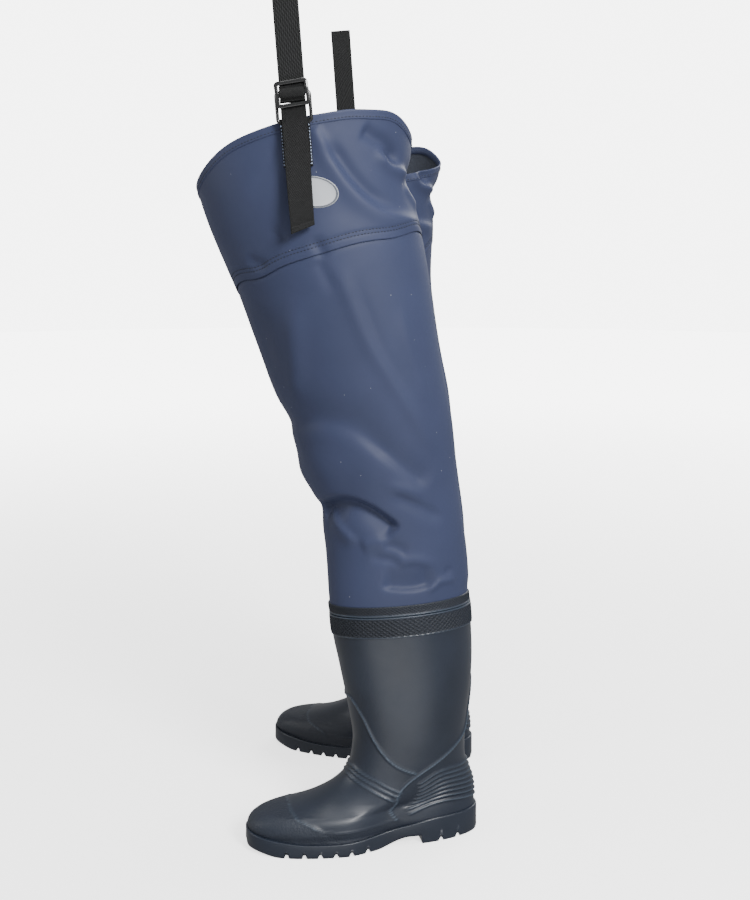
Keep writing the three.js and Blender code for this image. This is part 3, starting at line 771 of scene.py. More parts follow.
def colour_setting(label, about, value):
    return bpy.props.FloatVectorProperty(
        name=label, description=about, subtype="COLOR", size=3, min=0, max=1, default=value
    )


def length_setting(label, about, value):
    return bpy.props.FloatProperty(
        name=label, description=about, default=value, min=0, unit="LENGTH", subtype="DISTANCE", precision=5
    )


class FabricSettings(bpy.types.PropertyGroup):
    colour: colour_setting("Cloth", "Colour of the coated cloth", (0.030, 0.038, 0.080))
    inside_colour: colour_setting("Backing", "Colour of the cloth's inside", (0.03, 0.036, 0.052))
    dark_thread: colour_setting("Thread", "Colour of the seams' thread", (0.008, 0.011, 0.022))
    light_thread: colour_setting("Tab thread", "Colour of the thread on the tab", (0.42, 0.5, 0.68))
    thickness: length_setting("Cloth thickness", "Thickness of the coated cloth", 0.0011)
    fold_depth: bpy.props.FloatProperty(
        name="Fold depth", description="How strongly the legs are creased", default=1.15, min=0, max=1.3
    )
    stitch_pitch: length_setting("Stitch pitch", "From one stitch to the next", 0.0042)
    stitch_length: length_setting("Stitch length", "Length of one stitch", 0.0031)
    thread_radius: length_setting("Thread radius", "Radius of the thread", 0.0005)


class BootSettings(bpy.types.PropertyGroup):
    colour: colour_setting("PVC", "Colour of the boots", (0.010, 0.0145, 0.025))
    # Colour of the painted highlight on the raised lines, the band's lips and the strip's lower bead.
    rubbed_colour: colour_setting("Rubbed edges", "Colour of the raised lines", (0.09, 0.125, 0.17))
    lining_colour: colour_setting("Lining", "Colour of the boots' lining", (0.12, 0.125, 0.13))
    roughness: bpy.props.FloatProperty(
        name="Roughness", description="Roughness of the boots' skin", default=0.4, min=0.1, max=1
    )
    knurl_pitch: length_setting("Knurl pitch", "Size of a diamond on the rim's band", 0.006)
    knurl_height: length_setting("Knurl height", "Height of the diamonds", 0.0017)
    ridge_height: length_setting("Ridge height", "Height of the ankle ridges and heel ribs", 0.0022)
    piping_height: length_setting("Piping height", "Height of the raised lines", 0.0021)
    lug_groove: length_setting("Groove depth", "Depth of the grooves between the lugs", 0.005)


class StrapSettings(bpy.types.PropertyGroup):
    webbing_colour: colour_setting("Webbing", "Colour of the webbing", (0.0085, 0.0088, 0.009))
    plastic_colour: colour_setting("Buckle", "Colour of the slider and ring", (0.008, 0.0085, 0.009))
    label_rim: colour_setting("Label rim", "Colour of the label's rim", (0.075, 0.085, 0.105))
    label_field: colour_setting("Label field", "Colour of the label's field", (0.42, 0.44, 0.47))
    webbing_width: length_setting("Webbing width", "Width of the belt strap", 0.028)
    webbing_thickness: length_setting("Webbing thickness", "Thickness of the webbing", 0.0016)
    rib_pitch: length_setting("Rib pitch", "From one rib of the twill to the next", 0.0021)


class StageSettings(bpy.types.PropertyGroup):
    floor_colour: colour_setting("Floor", "Colour of the floor", (0.86, 0.86, 0.86))
    eye_height: length_setting("Eye height", "Height of the camera", 0.772)
    distance: length_setting("Distance", "From the middle of the pair to the camera", 1.607)
    backdrop_glow: bpy.props.FloatProperty(
        name="Backdrop", description="How bright the backdrop looks", default=6, min=0
    )
    sky: bpy.props.FloatProperty(name="Soft light", description="Light from all around", default=0.5, min=0)
    key_power: bpy.props.FloatProperty(
        name="Main light", description="Power of the main light", default=118, min=0, unit="POWER"
    )
    fill_power: bpy.props.FloatProperty(
        name="Fill light", description="Power of the fill lights", default=16, min=0, unit="POWER"
    )
    bounce_power: bpy.props.FloatProperty(
        name="Bounce light", description="Light that comes back from the floor",
        default=4.2, min=0, unit="POWER",
    )


# Boots ----------------------------------------------------------------------------------------

SHELL_COLUMNS, SHELL_ROWS = 268, 180
SOLE_STATIONS = 240
SOLE_LEDGE = 3.0
LINING_BOTTOM = 30
RIM_GIRTH = 486
SOLE_FRONT, SOLE_REAR = -203 - SOLE_LEDGE, 98.5 + SOLE_LEDGE
LUG_GROOVES = (-160, -138, -118, -98, -78, -56, 44, 68)
HEEL_BREAST = 18
ARCH_HEIGHT = 11
TOE_SPRING = 6

# Height of the sole's upper edge by angle in degrees, from the toe to the heel.
SOLE_EDGE = np.array(
    [
        (0, 28), (20, 25), (42, 20.5), (58, 17.5), (76, 17.5),
        (95, 20.5), (109, 26), (124, 32.5), (150, 33), (180, 33.5),
    ],
    float,
)
# Upper edge of the stippled strip over the sole.
FOXING_EDGE = np.array(
    [
        (0, 50), (20, 50), (42, 48), (58, 41), (68, 34),
        (82, 31.5), (95, 32.5), (104, 36), (110, 38), (180, 40),
    ],
    float,
)


def round_foot(table, angle):
    """Value of a table by angle, the same on both sides of the foot."""
    degrees = np.degrees(np.arccos(np.clip(np.cos(angle), -1, 1)))
    return along(table, 1, degrees)


def sole_bottom(y):
    """Height of the tread: raised at the toe and under the arch."""
    toe = TOE_SPRING * smoothstep(-y, 165, 206)
    arch = ARCH_HEIGHT * smoothstep(y, -45, 2)
    return np.where(y < -45, toe, np.where(y < HEEL_BREAST, arch, 0.0))


def lug_relief(x, y):
    """Depth of the tread at a point of the sole: cross grooves and a channel along the middle."""
    depth = bpy.context.scene.wader_boot.lug_groove / MM
    cross = np.zeros_like(y)
    for groove in LUG_GROOVES:
        bowed = y - groove - 0.0022 * x * x * np.where(groove > 0, -1, 1) * 0.8
        edge = y - groove
        gap = np.abs(np.where(np.abs(x) > 30, edge, mix(bowed, edge, np.abs(x) / 30)))
        cross = np.maximum(cross, 1 - smoothstep(gap, 1.2, 3.2))
    tread = (y < -50) | (y > HEEL_BREAST + 8)
    middle = (1 - smoothstep(np.abs(x), 3.0, 5.5)) * np.where(tread, 1, 0) * 0.7
    return depth * np.maximum(cross, middle)


def sole_mesh(side):
    """The sole: lugs underneath, a side wall and a ledge whose upper edge rises to the heel."""
    stations = SOLE_STATIONS
    columns, rows = 2 * stations, 26
    shares = np.array(
        [0, 0.06, 0.12, 0.18, 0.26, 0.34, 0.42, 0.5, 0.58, 0.66, 0.74, 0.82, 0.88, 0.93, 0.965, 0.985]
    )

    def place(u, v):
        step = np.round(u * columns).astype(int) % columns
        way = np.where(step <= stations, step, columns - step) / stations
        hand = np.where(step <= stations, 1.0, -1.0)
        ends = 0.5 - 0.5 * np.cos(np.pi * way)
        s = mix(way, ends, 0.25 + 0.5 * (np.abs(way - 0.5) * 2) ** 4)
        angle = np.arccos(np.clip(1 - 2 * s, -1, 1))
        y = mix(SOLE_FRONT, SOLE_REAR, s)
        ledge = SOLE_LEDGE * np.sin(angle) ** 0.5
        edge = foot_half_width(angle * hand) + ledge
        at = np.round(v * rows).astype(int)
        bottom = sole_bottom(y)
        top = round_foot(SOLE_EDGE, angle)
        under = at < len(shares)
        share = shares[np.minimum(at, len(shares) - 1)]
        x = share * edge
        z = bottom + lug_relief(x * hand, y) * (1 - smoothstep(share, 0.985, 1.2))
        groove_side = lug_relief(edge * hand, y)
        up = [0.5, 1.6, 3.2, 6.0, 0.55, 0.93, 0.985, 1.0, 1.0, 0.99, 0.9]
        inset = [0.7, 0.2, 0.0, 0.0, 0.25, 0.25, 0.5, 1.3, 2.6, 5.5, 9.0]
        for k, (rise, into) in enumerate(zip(up, inset)):
            here = at == len(shares) + k
            if k < 4:
                level = bottom + rise + groove_side * (1 - smoothstep(rise, 3.0, 7.0))
                level = np.minimum(level, mix(bottom, top, 0.5))
            else:
                level = mix(bottom, top, rise)
            z = np.where(here, level, z)
            x = np.where(here, np.maximum(edge - into * np.sin(angle) ** 0.5, 0), x)
        # The wall's ends follow the toe and heel round instead of ending in a point.
        middle = (SOLE_FRONT + SOLE_REAR) / 2
        k = np.clip(at - len(shares), 0, len(inset) - 1)
        into = np.where(under, inset[0], np.array(inset)[k])
        reach = 1 - into / ((SOLE_REAR - SOLE_FRONT) / 2)
        y = middle + (y - middle) * reach
        return on_side(foot_to_pair(x * hand, y, z), side)

    return grid_mesh("sole", columns, rows, place, (0.75, 0.12), close=True)


# Raised lines of a boot, as (angle in degrees from the toe, height).
def counter_ribs():
    """Lines of the ribs behind the counter, from the side of the foot to the heel."""
    ribs = []
    for i in range(8):
        t = i / 7
        side = (mix(95, 109, t), mix(80, 40, t))
        bend = (mix(116, 124, t), mix(96, 51, t))
        ribs.append([side, bend, (152, mix(96, 49, t)), (180, mix(95, 46, t))])
    return ribs


FLAP_LINE = [(0, 197), (10, 197), (20, 194), (33, 172), (43, 145), (56, 125), (69, 111), (82, 102), (92, 97)]
COUNTER_LINE = [
    (180, 214), (172, 190), (166, 165), (160, 144), (134, 126), (108, 107),
    (91, 92), (84, 80), (85, 68), (93, 56), (100, 44), (104, 34),
]
ANKLE_LINES = [
    [(0, 102), (18, 100.5), (51, 91), (71, 80), (86, 71.5)],
    [(0, 97), (17, 95.5), (47, 87), (72, 74.5), (88, 65.5)],
    [(0, 92), (16, 90.5), (44, 83), (73, 69), (90, 59.5)],
]
TOE_CAP_LINE = [(0, 54.6), (14, 53.6), (32, 51), (46, 47.5), (57, 42), (66, 34)]
FOXING_LINE = [(66, 34), (75, 32), (84, 31.5), (95, 32.5), (102, 34.5)]


def mirrored(route):
    """A line and the same one on the other side of the foot."""
    return [route, [(-angle, z) for angle, z in route]]


def raised(points, routes, height, half_width, start, end):
    """How far beads along some routes stand out at each point."""
    out = np.zeros(len(points))
    for route in routes:
        path = smooth_line(route, 6)
        line = boot_point(np.radians(path[:, 0]), path[:, 1])
        gap, _, share = from_line(points, line, 4 * half_width)
        bead = np.exp(-np.minimum((gap / half_width) ** 2, 60))
        out = np.maximum(out, height * bead * taper(share, start, end))
    return out


def boot_relief(angle, z):
    """How far the boot's mouldings stand out."""
    settings = bpy.context.scene.wader_boot
    ridge, piping = settings.ridge_height / MM, settings.piping_height / MM
    points = boot_point(angle, z)
    out = raised(points, mirrored(FLAP_LINE), piping, 1.2, 0, 0.02)
    out = np.maximum(out, raised(points, mirrored(COUNTER_LINE), piping * 1.1, 1.3, 0.02, 0))
    for line in ANKLE_LINES:
        out = np.maximum(out, raised(points, mirrored(line), ridge, 1.35, 0, 0.07))
    for line in counter_ribs():
        out = np.maximum(out, raised(points, mirrored(line), ridge, 1.7, 0.04, 0))
    out = np.maximum(out, raised(points, mirrored(TOE_CAP_LINE), piping * 0.7, 1.1, 0, 0.1))
    out = np.maximum(out, raised(points, mirrored(FOXING_LINE), piping * 0.6, 0.9, 0.05, 0.05))
    return out + 0.7 * in_toe_cap(angle, z)


def rubbed(angle, z):
    """1 on the tops of the raised lines, where a painted highlight lightens the PVC."""
    points = boot_point(angle, z)
    lines = mirrored(FLAP_LINE) + mirrored(COUNTER_LINE)
    tops = raised(points, lines, 1.0, 0.85, 0.03, 0.02)
    ribs = [line for route in ANKLE_LINES + counter_ribs() for line in mirrored(route)]
    tops = np.maximum(tops, raised(points, mirrored(TOE_CAP_LINE), 0.5, 0.8, 0, 0.1))
    return np.maximum(tops, raised(points, ribs, 0.45, 0.9, 0.06, 0))


def in_toe_cap(angle, z):
    """1 on the toe cap, 0 behind its line."""
    cap = round_foot(np.array(TOE_CAP_LINE + [(70, 20), (180, 20)], float), angle)
    return 1 - smoothstep(z, cap - 0.6, cap + 0.3)


def stippled(angle, z):
    """1 on the toe cap and on the strip over the sole."""
    fox = 1 - smoothstep(z, round_foot(FOXING_EDGE, angle) - 1.0, round_foot(FOXING_EDGE, angle))
    behind = smoothstep(np.degrees(np.arccos(np.clip(np.cos(angle), -1, 1))), 102, 106)
    return np.maximum(in_toe_cap(angle, z), fox * (1 - behind))


def shell_heights(share, top):
    """Heights up the boot, closer together where its upper side lies flat."""
    z = np.linspace(12, 330, 1200)
    front = along(BOOT_PROFILE, FRONT, z)
    step = np.hypot(np.diff(z), 0.75 * np.diff(front))
    length = np.concatenate([[0], np.cumsum(step)])
    reach = np.interp(top, z, length)
    return np.interp(share * reach, length, z)


def shell_mesh(side):
    """The boot's outer surface, with marks for its stippled places and for its painted highlights."""
    columns, rows = SHELL_COLUMNS, SHELL_ROWS

    def angle_and_height(u, v):
        angle = u * math.tau
        return angle, shell_heights(v, edge_height(BOOT_RIM, angle) - 2)

    def place(u, v):
        angle, z = angle_and_height(u, v)
        return on_side(boot_point(angle, z, boot_relief(angle, z)), side)

    return grid_mesh(
        "boot shell", columns, rows, place, (0.5, 0.45),
        values={
            "stipple": lambda u, v: stippled(*angle_and_height(u, v)),
            "rubbed": lambda u, v: rubbed(*angle_and_height(u, v)),
        },
    )


class WADERS_OT_soles(bpy.types.Operator):
    """Adds the lugged outsoles"""

    bl_idname = "waders.soles"
    bl_label = "Soles"

    def execute(self, context):
        rubber = finish_of("boot rubber", boot_rubber)
        made = []
        for name, side in SIDES.items():
            piece = add_piece(f"{name}_sole", sole_mesh(side), rubber, f"{name}_boot")
            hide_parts(f"{name}_outsole")
            made.append(piece)
        need(made, "sole")
        return {"FINISHED"}


class WADERS_OT_boots(bpy.types.Operator):
    """Adds the moulded boot shells, their linings and insoles"""

    bl_idname = "waders.boots"
    bl_label = "Boots"

    def execute(self, context):
        rubber = finish_of("boot rubber", boot_rubber)
        lining = finish_of("boot lining", lining_knit)
        made = []
        for name, side in SIDES.items():
            shell = add_piece(f"{name}_boot_shell", shell_mesh(side), rubber, f"{name}_boot")
            add_wall(shell, BOOT_WALL - 0.3)
            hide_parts(f"{name}_boot_upper")

            def inside(u, v, side=side):
                angle = u * math.tau
                top = edge_height(BOOT_RIM, angle) - 24
                z = shell_heights(mix(0.045, 1, v), top)
                z = np.maximum(z, LINING_BOTTOM)
                return on_side(boot_point(angle, z, -(BOOT_WALL + 0.4)), side)

            mesh = grid_mesh("lining", 160, 90, inside, (0.45, 0.42))
            sock = add_piece(f"{name}_lining", mesh, lining, f"{name}_boot")
            add_wall(sock, 1.4)
            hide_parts(f"{name}_boot_lining")

            def bed(u, v, side=side):
                angle = u * math.tau
                share = np.interp(v, [0, 0.1, 0.45, 0.5, 0.55, 0.9, 1], [0, 0.3, 0.97, 1, 0.97, 0.3, 0])
                level = np.interp(v, [0, 0.42, 0.5, 0.58, 1], [30.5, 30.5, 32.5, 34.8, 34.8])
                rim_rise = 2.0 * smoothstep(share, 0.6, 1) * (v > 0.5)
                edge = boot_point(angle, np.full_like(angle, 40.0), -9.0)
                middle = foot_to_pair(0 * angle, mix(-180, 84, (1 - np.cos(angle)) / 2), 0.0)
                point = middle + (edge - middle) * share[:, None]
                point[:, 2] = level + rim_rise
                return on_side(point, side)

            pad = add_piece(
                f"{name}_footbed", grid_mesh("footbed", 96, 24, bed, (0.6, 0.2)), lining, f"{name}_boot"
            )
            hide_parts(f"{name}_insole")
            made += [shell, sock, pad]
        need(made, "boot")
        return {"FINISHED"}


def lining_knit(name):
    """Grey knit inside the boots."""
    settings = bpy.context.scene.wader_boot
    s = Shader(name)
    u, v, _ = s.axis(s.coordinates("UV"))
    loops = (u * (math.tau / 0.0018)).sine() * (v * (math.tau / 0.0015)).sine()
    cloud = s.noise(s.coordinates(), 14, 3)
    shade = (loops * 0.15 + cloud).ramp(0.2, 0.9)
    return s.finish(
        base_color=s.colours(shade, rgb(settings.lining_colour, 0.75), rgb(settings.lining_colour, 1.25)),
        roughness=0.92 - cloud * 0.05,
        normal=s.bump(loops, 0.0003, 0.7),
    )


def diamonds(round_length, up_length, pitch):
    """Pyramids of a knurl: 1 on their tips and 0 in the grooves between them."""
    a = (round_length + up_length * 1.15) / pitch
    b = (round_length - up_length * 1.15) / pitch
    ridge_a = np.abs((a % 1) - 0.5) * 2
    ridge_b = np.abs((b % 1) - 0.5) * 2
    return np.clip(1.35 * (1 - np.maximum(ridge_a, ridge_b)), 0, 1) ** 0.8


def lattice(round_length, up_length, pitch):
    """Crossing ridges of a knurl: 1 on the ridges and 0 in the diamonds between them."""
    return 1 - smoothstep(diamonds(round_length, up_length, pitch), 0.05, 0.6)


# Sections of the rim's band and of the strip above it: height, and how far out.
BAND_SECTION = (
    (0, -1), (0.6, 1.1), (1.2, 1.6), (2.2, 1.6), (3, 0.5),
    (25, 0.5), (25.8, 1.7), (27, 1.8), (27.5, 1.2), (28, -1),
)
STRIP_SECTION = (
    (0, -2.2), (0.4, 0.6), (1.2, 1.5), (2.4, 1.5), (3.2, 0.2), (12.4, 0.4), (13.1, 0.4), (13.5, -1.2),
)


class WADERS_OT_rims(bpy.types.Operator):
    """Adds the knurled band of each boot's rim and the strip that seals the cloth to it"""

    bl_idname = "waders.rims"
    bl_label = "Rims"

    def execute(self, context):
        settings = context.scene.wader_boot
        rubber = finish_of("boot rubber", boot_rubber)
        pitch, height = settings.knurl_pitch / MM, settings.knurl_height / MM
        count = round(RIM_GIRTH / pitch)
        made = []
        for name, side in SIDES.items():

            def band(u, v, side=side):
                angle = u * math.tau
                rise = v * BAND_HEIGHT
                lip = np.interp(rise, *zip(*BAND_SECTION))
                inner = smoothstep(rise, 2.2, 3.4) * (1 - smoothstep(rise, 24.6, 25.8))
                knurl = lattice(u * count * pitch, rise, pitch) * height * inner
                z = edge_height(BOOT_RIM, angle) - BAND_HEIGHT + rise
                return on_side(boot_point(angle, z, lip + knurl), side)

            # Painted shade mask of the band: 1 in the hollows between the knurl's ridges.
            def band_groove_shade(u, v):
                rise = v * BAND_HEIGHT
                knurled = smoothstep(rise, 2.6, 3.4) * (1 - smoothstep(rise, 24.6, 25.4))
                return knurled * (1 - lattice(u * count * pitch, rise, pitch))

            # The band's upper and lower lips get a painted highlight.
            mesh = grid_mesh(
                "rim band", count * 6, 48, band, (RIM_GIRTH * MM, 0.03),
                values={
                    "groove": band_groove_shade,
                    "rubbed": lambda u, v: 0.3 * smoothstep(np.abs(v - 0.5), 0.4, 0.47),
                },
            )
            ring = add_piece(f"{name}_rim_band", mesh, rubber, f"{name}_boot")
            add_wall(ring, 1.0)

            fine = pitch * 0.7
            fine_count = round(RIM_GIRTH / fine)

            def strip(u, v, side=side):
                angle = u * math.tau
                rise = v * STRIP_HEIGHT
                lip = np.interp(rise, *zip(*STRIP_SECTION))
                inner = smoothstep(rise, 3.0, 3.8) * (1 - smoothstep(rise, 12.4, 13.1))
                knurl = lattice(u * fine_count * fine, rise, fine) * 1.2 * inner
                z = edge_height(BOOT_RIM, angle) + rise
                ease = smoothstep(rise, 0, 8)
                low = boot_point(angle, z, lip + knurl)
                high = leg_point(angle, z, lip + knurl + 0.4)
                return on_side(mix(low, high, ease[:, None]), side)

            # Painted shade mask of the strip: 1 in the hollows between the knurl's ridges.
            def strip_groove_shade(u, v):
                rise = v * STRIP_HEIGHT
                knurled = smoothstep(rise, 3.0, 3.6) * (1 - smoothstep(rise, 12.6, 13.2))
                return knurled * (1 - lattice(u * fine_count * fine, rise, fine))

            # The strip's lower bead gets a painted highlight.
            mesh = grid_mesh(
                "weld strip", fine_count * 6, 36, strip, (RIM_GIRTH * MM, 0.015),
                values={"groove": strip_groove_shade, "rubbed": lambda u, v: 0.4 * (1 - smoothstep(v, 0.12, 0.24))},
            )
            seal = add_piece(f"{name}_weld_strip", mesh, rubber, f"{name}_boot")
            add_wall(seal, 0.7)
            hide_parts(f"{name}_joint_strip")
            made += [ring, seal]
        need(made, "rim")
        return {"FINISHED"}


# Legs -----------------------------------------------------------------------------------------


def yoke_rise(angle, z):
    """The yoke stands a little proud of the leg along its lower edge, and dips where it is sewn."""
    above = z - edge_height(YOKE_SEAM, angle)
    sewn = sum(np.exp(-(((above - row) / 1.4) ** 2)) for row in YOKE_ROWS)
    return 0.9 * (1 - smoothstep(above, 14, 40)) - 0.6 * sewn


def under_yoke(angle, z):
    """The leg dips where it runs under the yoke."""
    above = z - edge_height(YOKE_SEAM, angle)
    return -1.5 * smoothstep(above, -2.2, 1.0)


class WADERS_OT_legs(bpy.types.Operator):
    """Adds the cloth of each leg, from inside the boot to under the yoke, and its seam tape"""

    bl_idname = "waders.legs"
    bl_label = "Legs"

    def execute(self, context):
        cloth = finish_of("leg cloth", leg_cloth)
        backing = finish_of("cloth backing", knit_backing)
        thickness = context.scene.wader_fabric.thickness / MM
        made = []
        for name, side in SIDES.items():

            def leg(u, v, side=side):
                angle = u * math.tau
                low = edge_height(BOOT_RIM, angle) - 18
                high = edge_height(YOKE_SEAM, angle) + SEAM_LAP
                z = mix(low, high, v)
                in_boot = 1 - smoothstep(z - edge_height(BOOT_RIM, angle), 0, STRIP_HEIGHT)
                return fabric_point(angle, z, side, under_yoke(angle, z) - 4.2 * in_boot)

            mesh = grid_mesh("leg cloth", 248, 158, leg, (0.62, 0.46))
            piece = add_piece(f"{name}_leg_cloth", mesh, cloth, inside=backing)
            add_wall(piece, thickness, two_sided=True)
            apply_modifiers(piece)
            blend_at_knee(piece)
            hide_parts(f"{name}_shin_panel", f"{name}_knee_panel", f"{name}_thigh_panel")

            def tape(u, v, side=side):
                angle = math.radians(270) + (u - 0.5) * math.radians(14)
                low = edge_height(BOOT_RIM, angle) + 20
                high = edge_height(YOKE_SEAM, angle) - 10
                z = mix(low, high, v)
                return fabric_point(angle, z, side, -(thickness + 0.25))

            mesh = grid_mesh("seam tape", 8, 130, tape, (0.022, 0.38))
            strip = add_piece(f"{name}_leg_seam_tape", mesh, backing)
            add_wall(strip, 0.5)
            apply_modifiers(strip)
            blend_at_knee(strip)
            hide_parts(f"{name}_shin_seam_tape", f"{name}_thigh_seam_tape")
            made += [piece, strip]
        need(made, "leg")
        return {"FINISHED"}


# Section of the hem: how far out, and how far above the top edge.
HEM_SECTION = (
    (0.1, -9.4), (0.7, -9.2), (1.0, -8.4), (0.85, -6.6), (0.8, -4.0), (1.0, -1.4),
    (1.1, 0.2), (0.7, 1.1), (-0.1, 1.5), (-0.9, 1.4), (-1.7, 0.9), (-2.0, 0.0),
    (-2.0, -4.5), (-2.0, -8.6), (-1.3, -9.2), (-0.5, -9.3), (0.1, -9.4),
)


class WADERS_OT_yokes(bpy.types.Operator):
    """Adds the cloth of each yoke, its hem and the tape behind its seam"""

    bl_idname = "waders.yokes"
    bl_label = "Yokes"

    def execute(self, context):
        cloth = finish_of("leg cloth", leg_cloth)
        backing = finish_of("cloth backing", knit_backing)
        thickness = context.scene.wader_fabric.thickness / MM
        made = []
        for name, side in SIDES.items():

            def yoke(u, v, side=side):
                angle = u * math.tau
                z = mix(edge_height(YOKE_SEAM, angle), edge_height(TOP_EDGE, angle), v)
                return fabric_point(angle, z, side, yoke_rise(angle, z))

            mesh = grid_mesh("yoke cloth", 264, 96, yoke, (0.72, 0.13))
            piece = add_piece(f"{name}_yoke_cloth", mesh, cloth, f"{name}_thigh", inside=backing)
            add_wall(piece, thickness, two_sided=True)
            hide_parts(f"{name}_yoke_panel")

            def hem(u, v, side=side):
                angle = u * math.tau
                at = np.round(v * (len(HEM_SECTION) - 1)).astype(int)
                out, rise = np.array(HEM_SECTION)[at].T
                z = edge_height(TOP_EDGE, angle) + rise
                inside_top = np.minimum(z, edge_height(TOP_EDGE, angle))
                push = fold(angle, inside_top, side, context.scene.wader_fabric.fold_depth)
                return on_side(leg_point(angle, z, out + push), side)

            mesh = grid_mesh("hem", 264, 16, hem, (0.72, 0.022))
            binding = add_piece(f"{name}_hem_binding", mesh, cloth, f"{name}_thigh")
            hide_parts(f"{name}_top_hem")

            def tape(u, v, side=side):
                angle = u * math.tau
                z = edge_height(YOKE_SEAM, angle) + mix(2, 18, v)
                return fabric_point(angle, z, side, under_yoke(angle, z) - thickness - 0.25)

            mesh = grid_mesh("seam band", 220, 6, tape, (0.7, 0.016))
            band = add_piece(f"{name}_yoke_seam_tape", mesh, backing, f"{name}_thigh")
            add_wall(band, 0.5)
            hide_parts(f"{name}_seam_band")
            made += [piece, binding, band]
        need(made, "yoke")
        return {"FINISHED"}


def add_stitches(name, points, outward, body, thread, length, radius):
    """A row of stitches: a small spindle of thread at each point, along the row."""
    shape = bmesh.new()
    ahead = np.roll(points, -1, 0) - np.roll(points, 1, 0)
    if np.linalg.norm(points[0] - points[-1]) > 12:
        ahead[0], ahead[-1] = points[1] - points[0], points[-1] - points[-2]
    for point, way, out in zip(points, ahead, outward):
        way = Vector(way).normalized()
        side_way = Vector(out).cross(way).normalized()
        out = way.cross(side_way)
        turn = Matrix((way * length / 2, side_way * radius, out * radius)).transposed().to_4x4()
        turn.translation = Vector(in_metres(point)) / MM
        bmesh.ops.create_uvsphere(shape, u_segments=6, v_segments=5, radius=1, matrix=turn)
    bmesh.ops.scale(shape, vec=(MM, MM, MM), verts=shape.verts)
    bmesh.ops.recalc_face_normals(shape, faces=shape.faces)
    mesh = bpy.data.meshes.new(name)
    shape.to_mesh(mesh)
    shape.free()
    mesh.shade_smooth()
    return add_piece(name, mesh, thread, body)


def seam_points(edge, rise, side, out, pitch):
    """Points along an edge of the cloth, evenly spaced, and the way out of the cloth at each."""
    angle = np.linspace(0, math.tau, 721)
    z = edge_height(edge, angle) + rise
    line = leg_point(angle, z)
    length = np.concatenate([[0], np.cumsum(np.linalg.norm(np.diff(line, axis=0), axis=1))])
    count = int(length[-1] / pitch)
    at = np.interp(np.arange(count) / count * length[-1], length, angle)
    z = edge_height(edge, at) + rise
    push = fold(at, z, side, bpy.context.scene.wader_fabric.fold_depth)
    points = on_side(leg_point(at, z, push + out), side)
    outward = on_side(leg_point(at, z, push + out + 5), side) - points
    return points, outward


class WADERS_OT_stitching(bpy.types.Operator):
    """Sews the yoke seams with two rows and the hems with one"""

    bl_idname = "waders.stitching"
    bl_label = "Stitching"

    def execute(self, context):
        settings = context.scene.wader_fabric
        thread = finish_of("dark thread", sewing_thread)
        pitch, length, radius = (
            value / MM for value in (settings.stitch_pitch, settings.stitch_length, settings.thread_radius)
        )
        made = []
        for name, side in SIDES.items():
            for label, edge, rise, out in (
                ("yoke_stitches_low", YOKE_SEAM, YOKE_ROWS[0], 0.6),
                ("yoke_stitches_high", YOKE_SEAM, YOKE_ROWS[1], 0.5),
                ("hem_stitches", TOP_EDGE, -6.4, 0.95),
            ):
                points, outward = seam_points(edge, rise, side, out, pitch)
                row = add_stitches(
                    f"{name}_{label}", points, outward, f"{name}_thigh", thread, length, radius
                )
                made.append(row)
        need(made, "stitching")
        return {"FINISHED"}


# Straps ---------------------------------------------------------------------------------------

STRAP_ANGLE = math.radians(90)
STRAP_HEIGHT = 898
STRAP_LEAN = math.radians(4)
STRAP_SETBACK = 5.7
TAB_WIDTH, TAB_LENGTH, TAB_STEP = 33, 48, 1.5
RING_ROD, RING_WIDTH, RING_HEIGHT, RING_CORNER = 2, 41, 32, 3.5
LOOP_TOP, LOOP_ROOM = 190, 9
SLIDER_WIDTH, SLIDER_HEIGHT, SLIDER_THICKNESS, SLIDER_BAR = 37.5, 28.5, 3.6, 4.2
SLIDER_LOW = 15.5
SLIDER_TILT = math.radians(5)
TAIL_TOP, TAIL_BOTTOM = 19, -118
TAIL_TWIST = math.radians(-22)
TAIL_SLANT = 0.3
LABEL_ANGLE, LABEL_HEIGHT = math.radians(96), 823
LABEL_HALF_WIDTH, LABEL_HALF_HEIGHT = 28.5, 17.5
CLEARANCE = 0.3
WRAP = RING_ROD + CLEARANCE + 0.8
FRONT_LAYER = WRAP + 1.6 + 2 * CLEARANCE
SLIDER_BACK = FRONT_LAYER + 0.8 + CLEARANCE + 0.3


def strap_point(side, across, outward, up):
    """Point of a strap's own frame: across it, outwards and up from the fold of its tab."""
    across, outward, up = np.broadcast_arrays(*(np.asarray(n, float) for n in (across, outward, up)))
    root = leg_point(np.array(STRAP_ANGLE), np.array(float(STRAP_HEIGHT)), STRAP_SETBACK)
    moved = on_side(root, side) - root
    x = root[0] + outward if side > 0 else root[0] + moved[0] - outward
    y = root[1] + moved[1] + across * math.cos(STRAP_LEAN) - up * math.sin(STRAP_LEAN)
    z = root[2] + moved[2] + across * math.sin(STRAP_LEAN) + up * math.cos(STRAP_LEAN)
    return np.stack([x, y, z], -1)


def arc(outward, up, radius, start, stop, steps):
    """Points of an arc from one angle to another, in degrees."""
    turn = np.radians(np.linspace(start, stop, steps + 1))
    return [(outward + radius * math.cos(t), up + radius * math.sin(t)) for t in turn]


def band_section(width, thickness, flat=12, curve=4):
    """Outline of webbing: two flat sides and two round edges, as (across, through)."""
    r = thickness / 2
    across = np.linspace(-width / 2 + r, width / 2 - r, flat + 1)
    right = [(width / 2 - r + r * math.sin(t), r * math.cos(t)) for t in np.linspace(0, math.pi, curve + 1)]
    left = [(-width / 2 + r - r * math.sin(t), -r * math.cos(t)) for t in np.linspace(0, math.pi, curve + 1)]
    top = [(a, r) for a in across[:-1]]
    bottom = [(a, -r) for a in across[::-1][1:-1]]
    return np.array([*top, *right, *bottom, *left[:-1]])


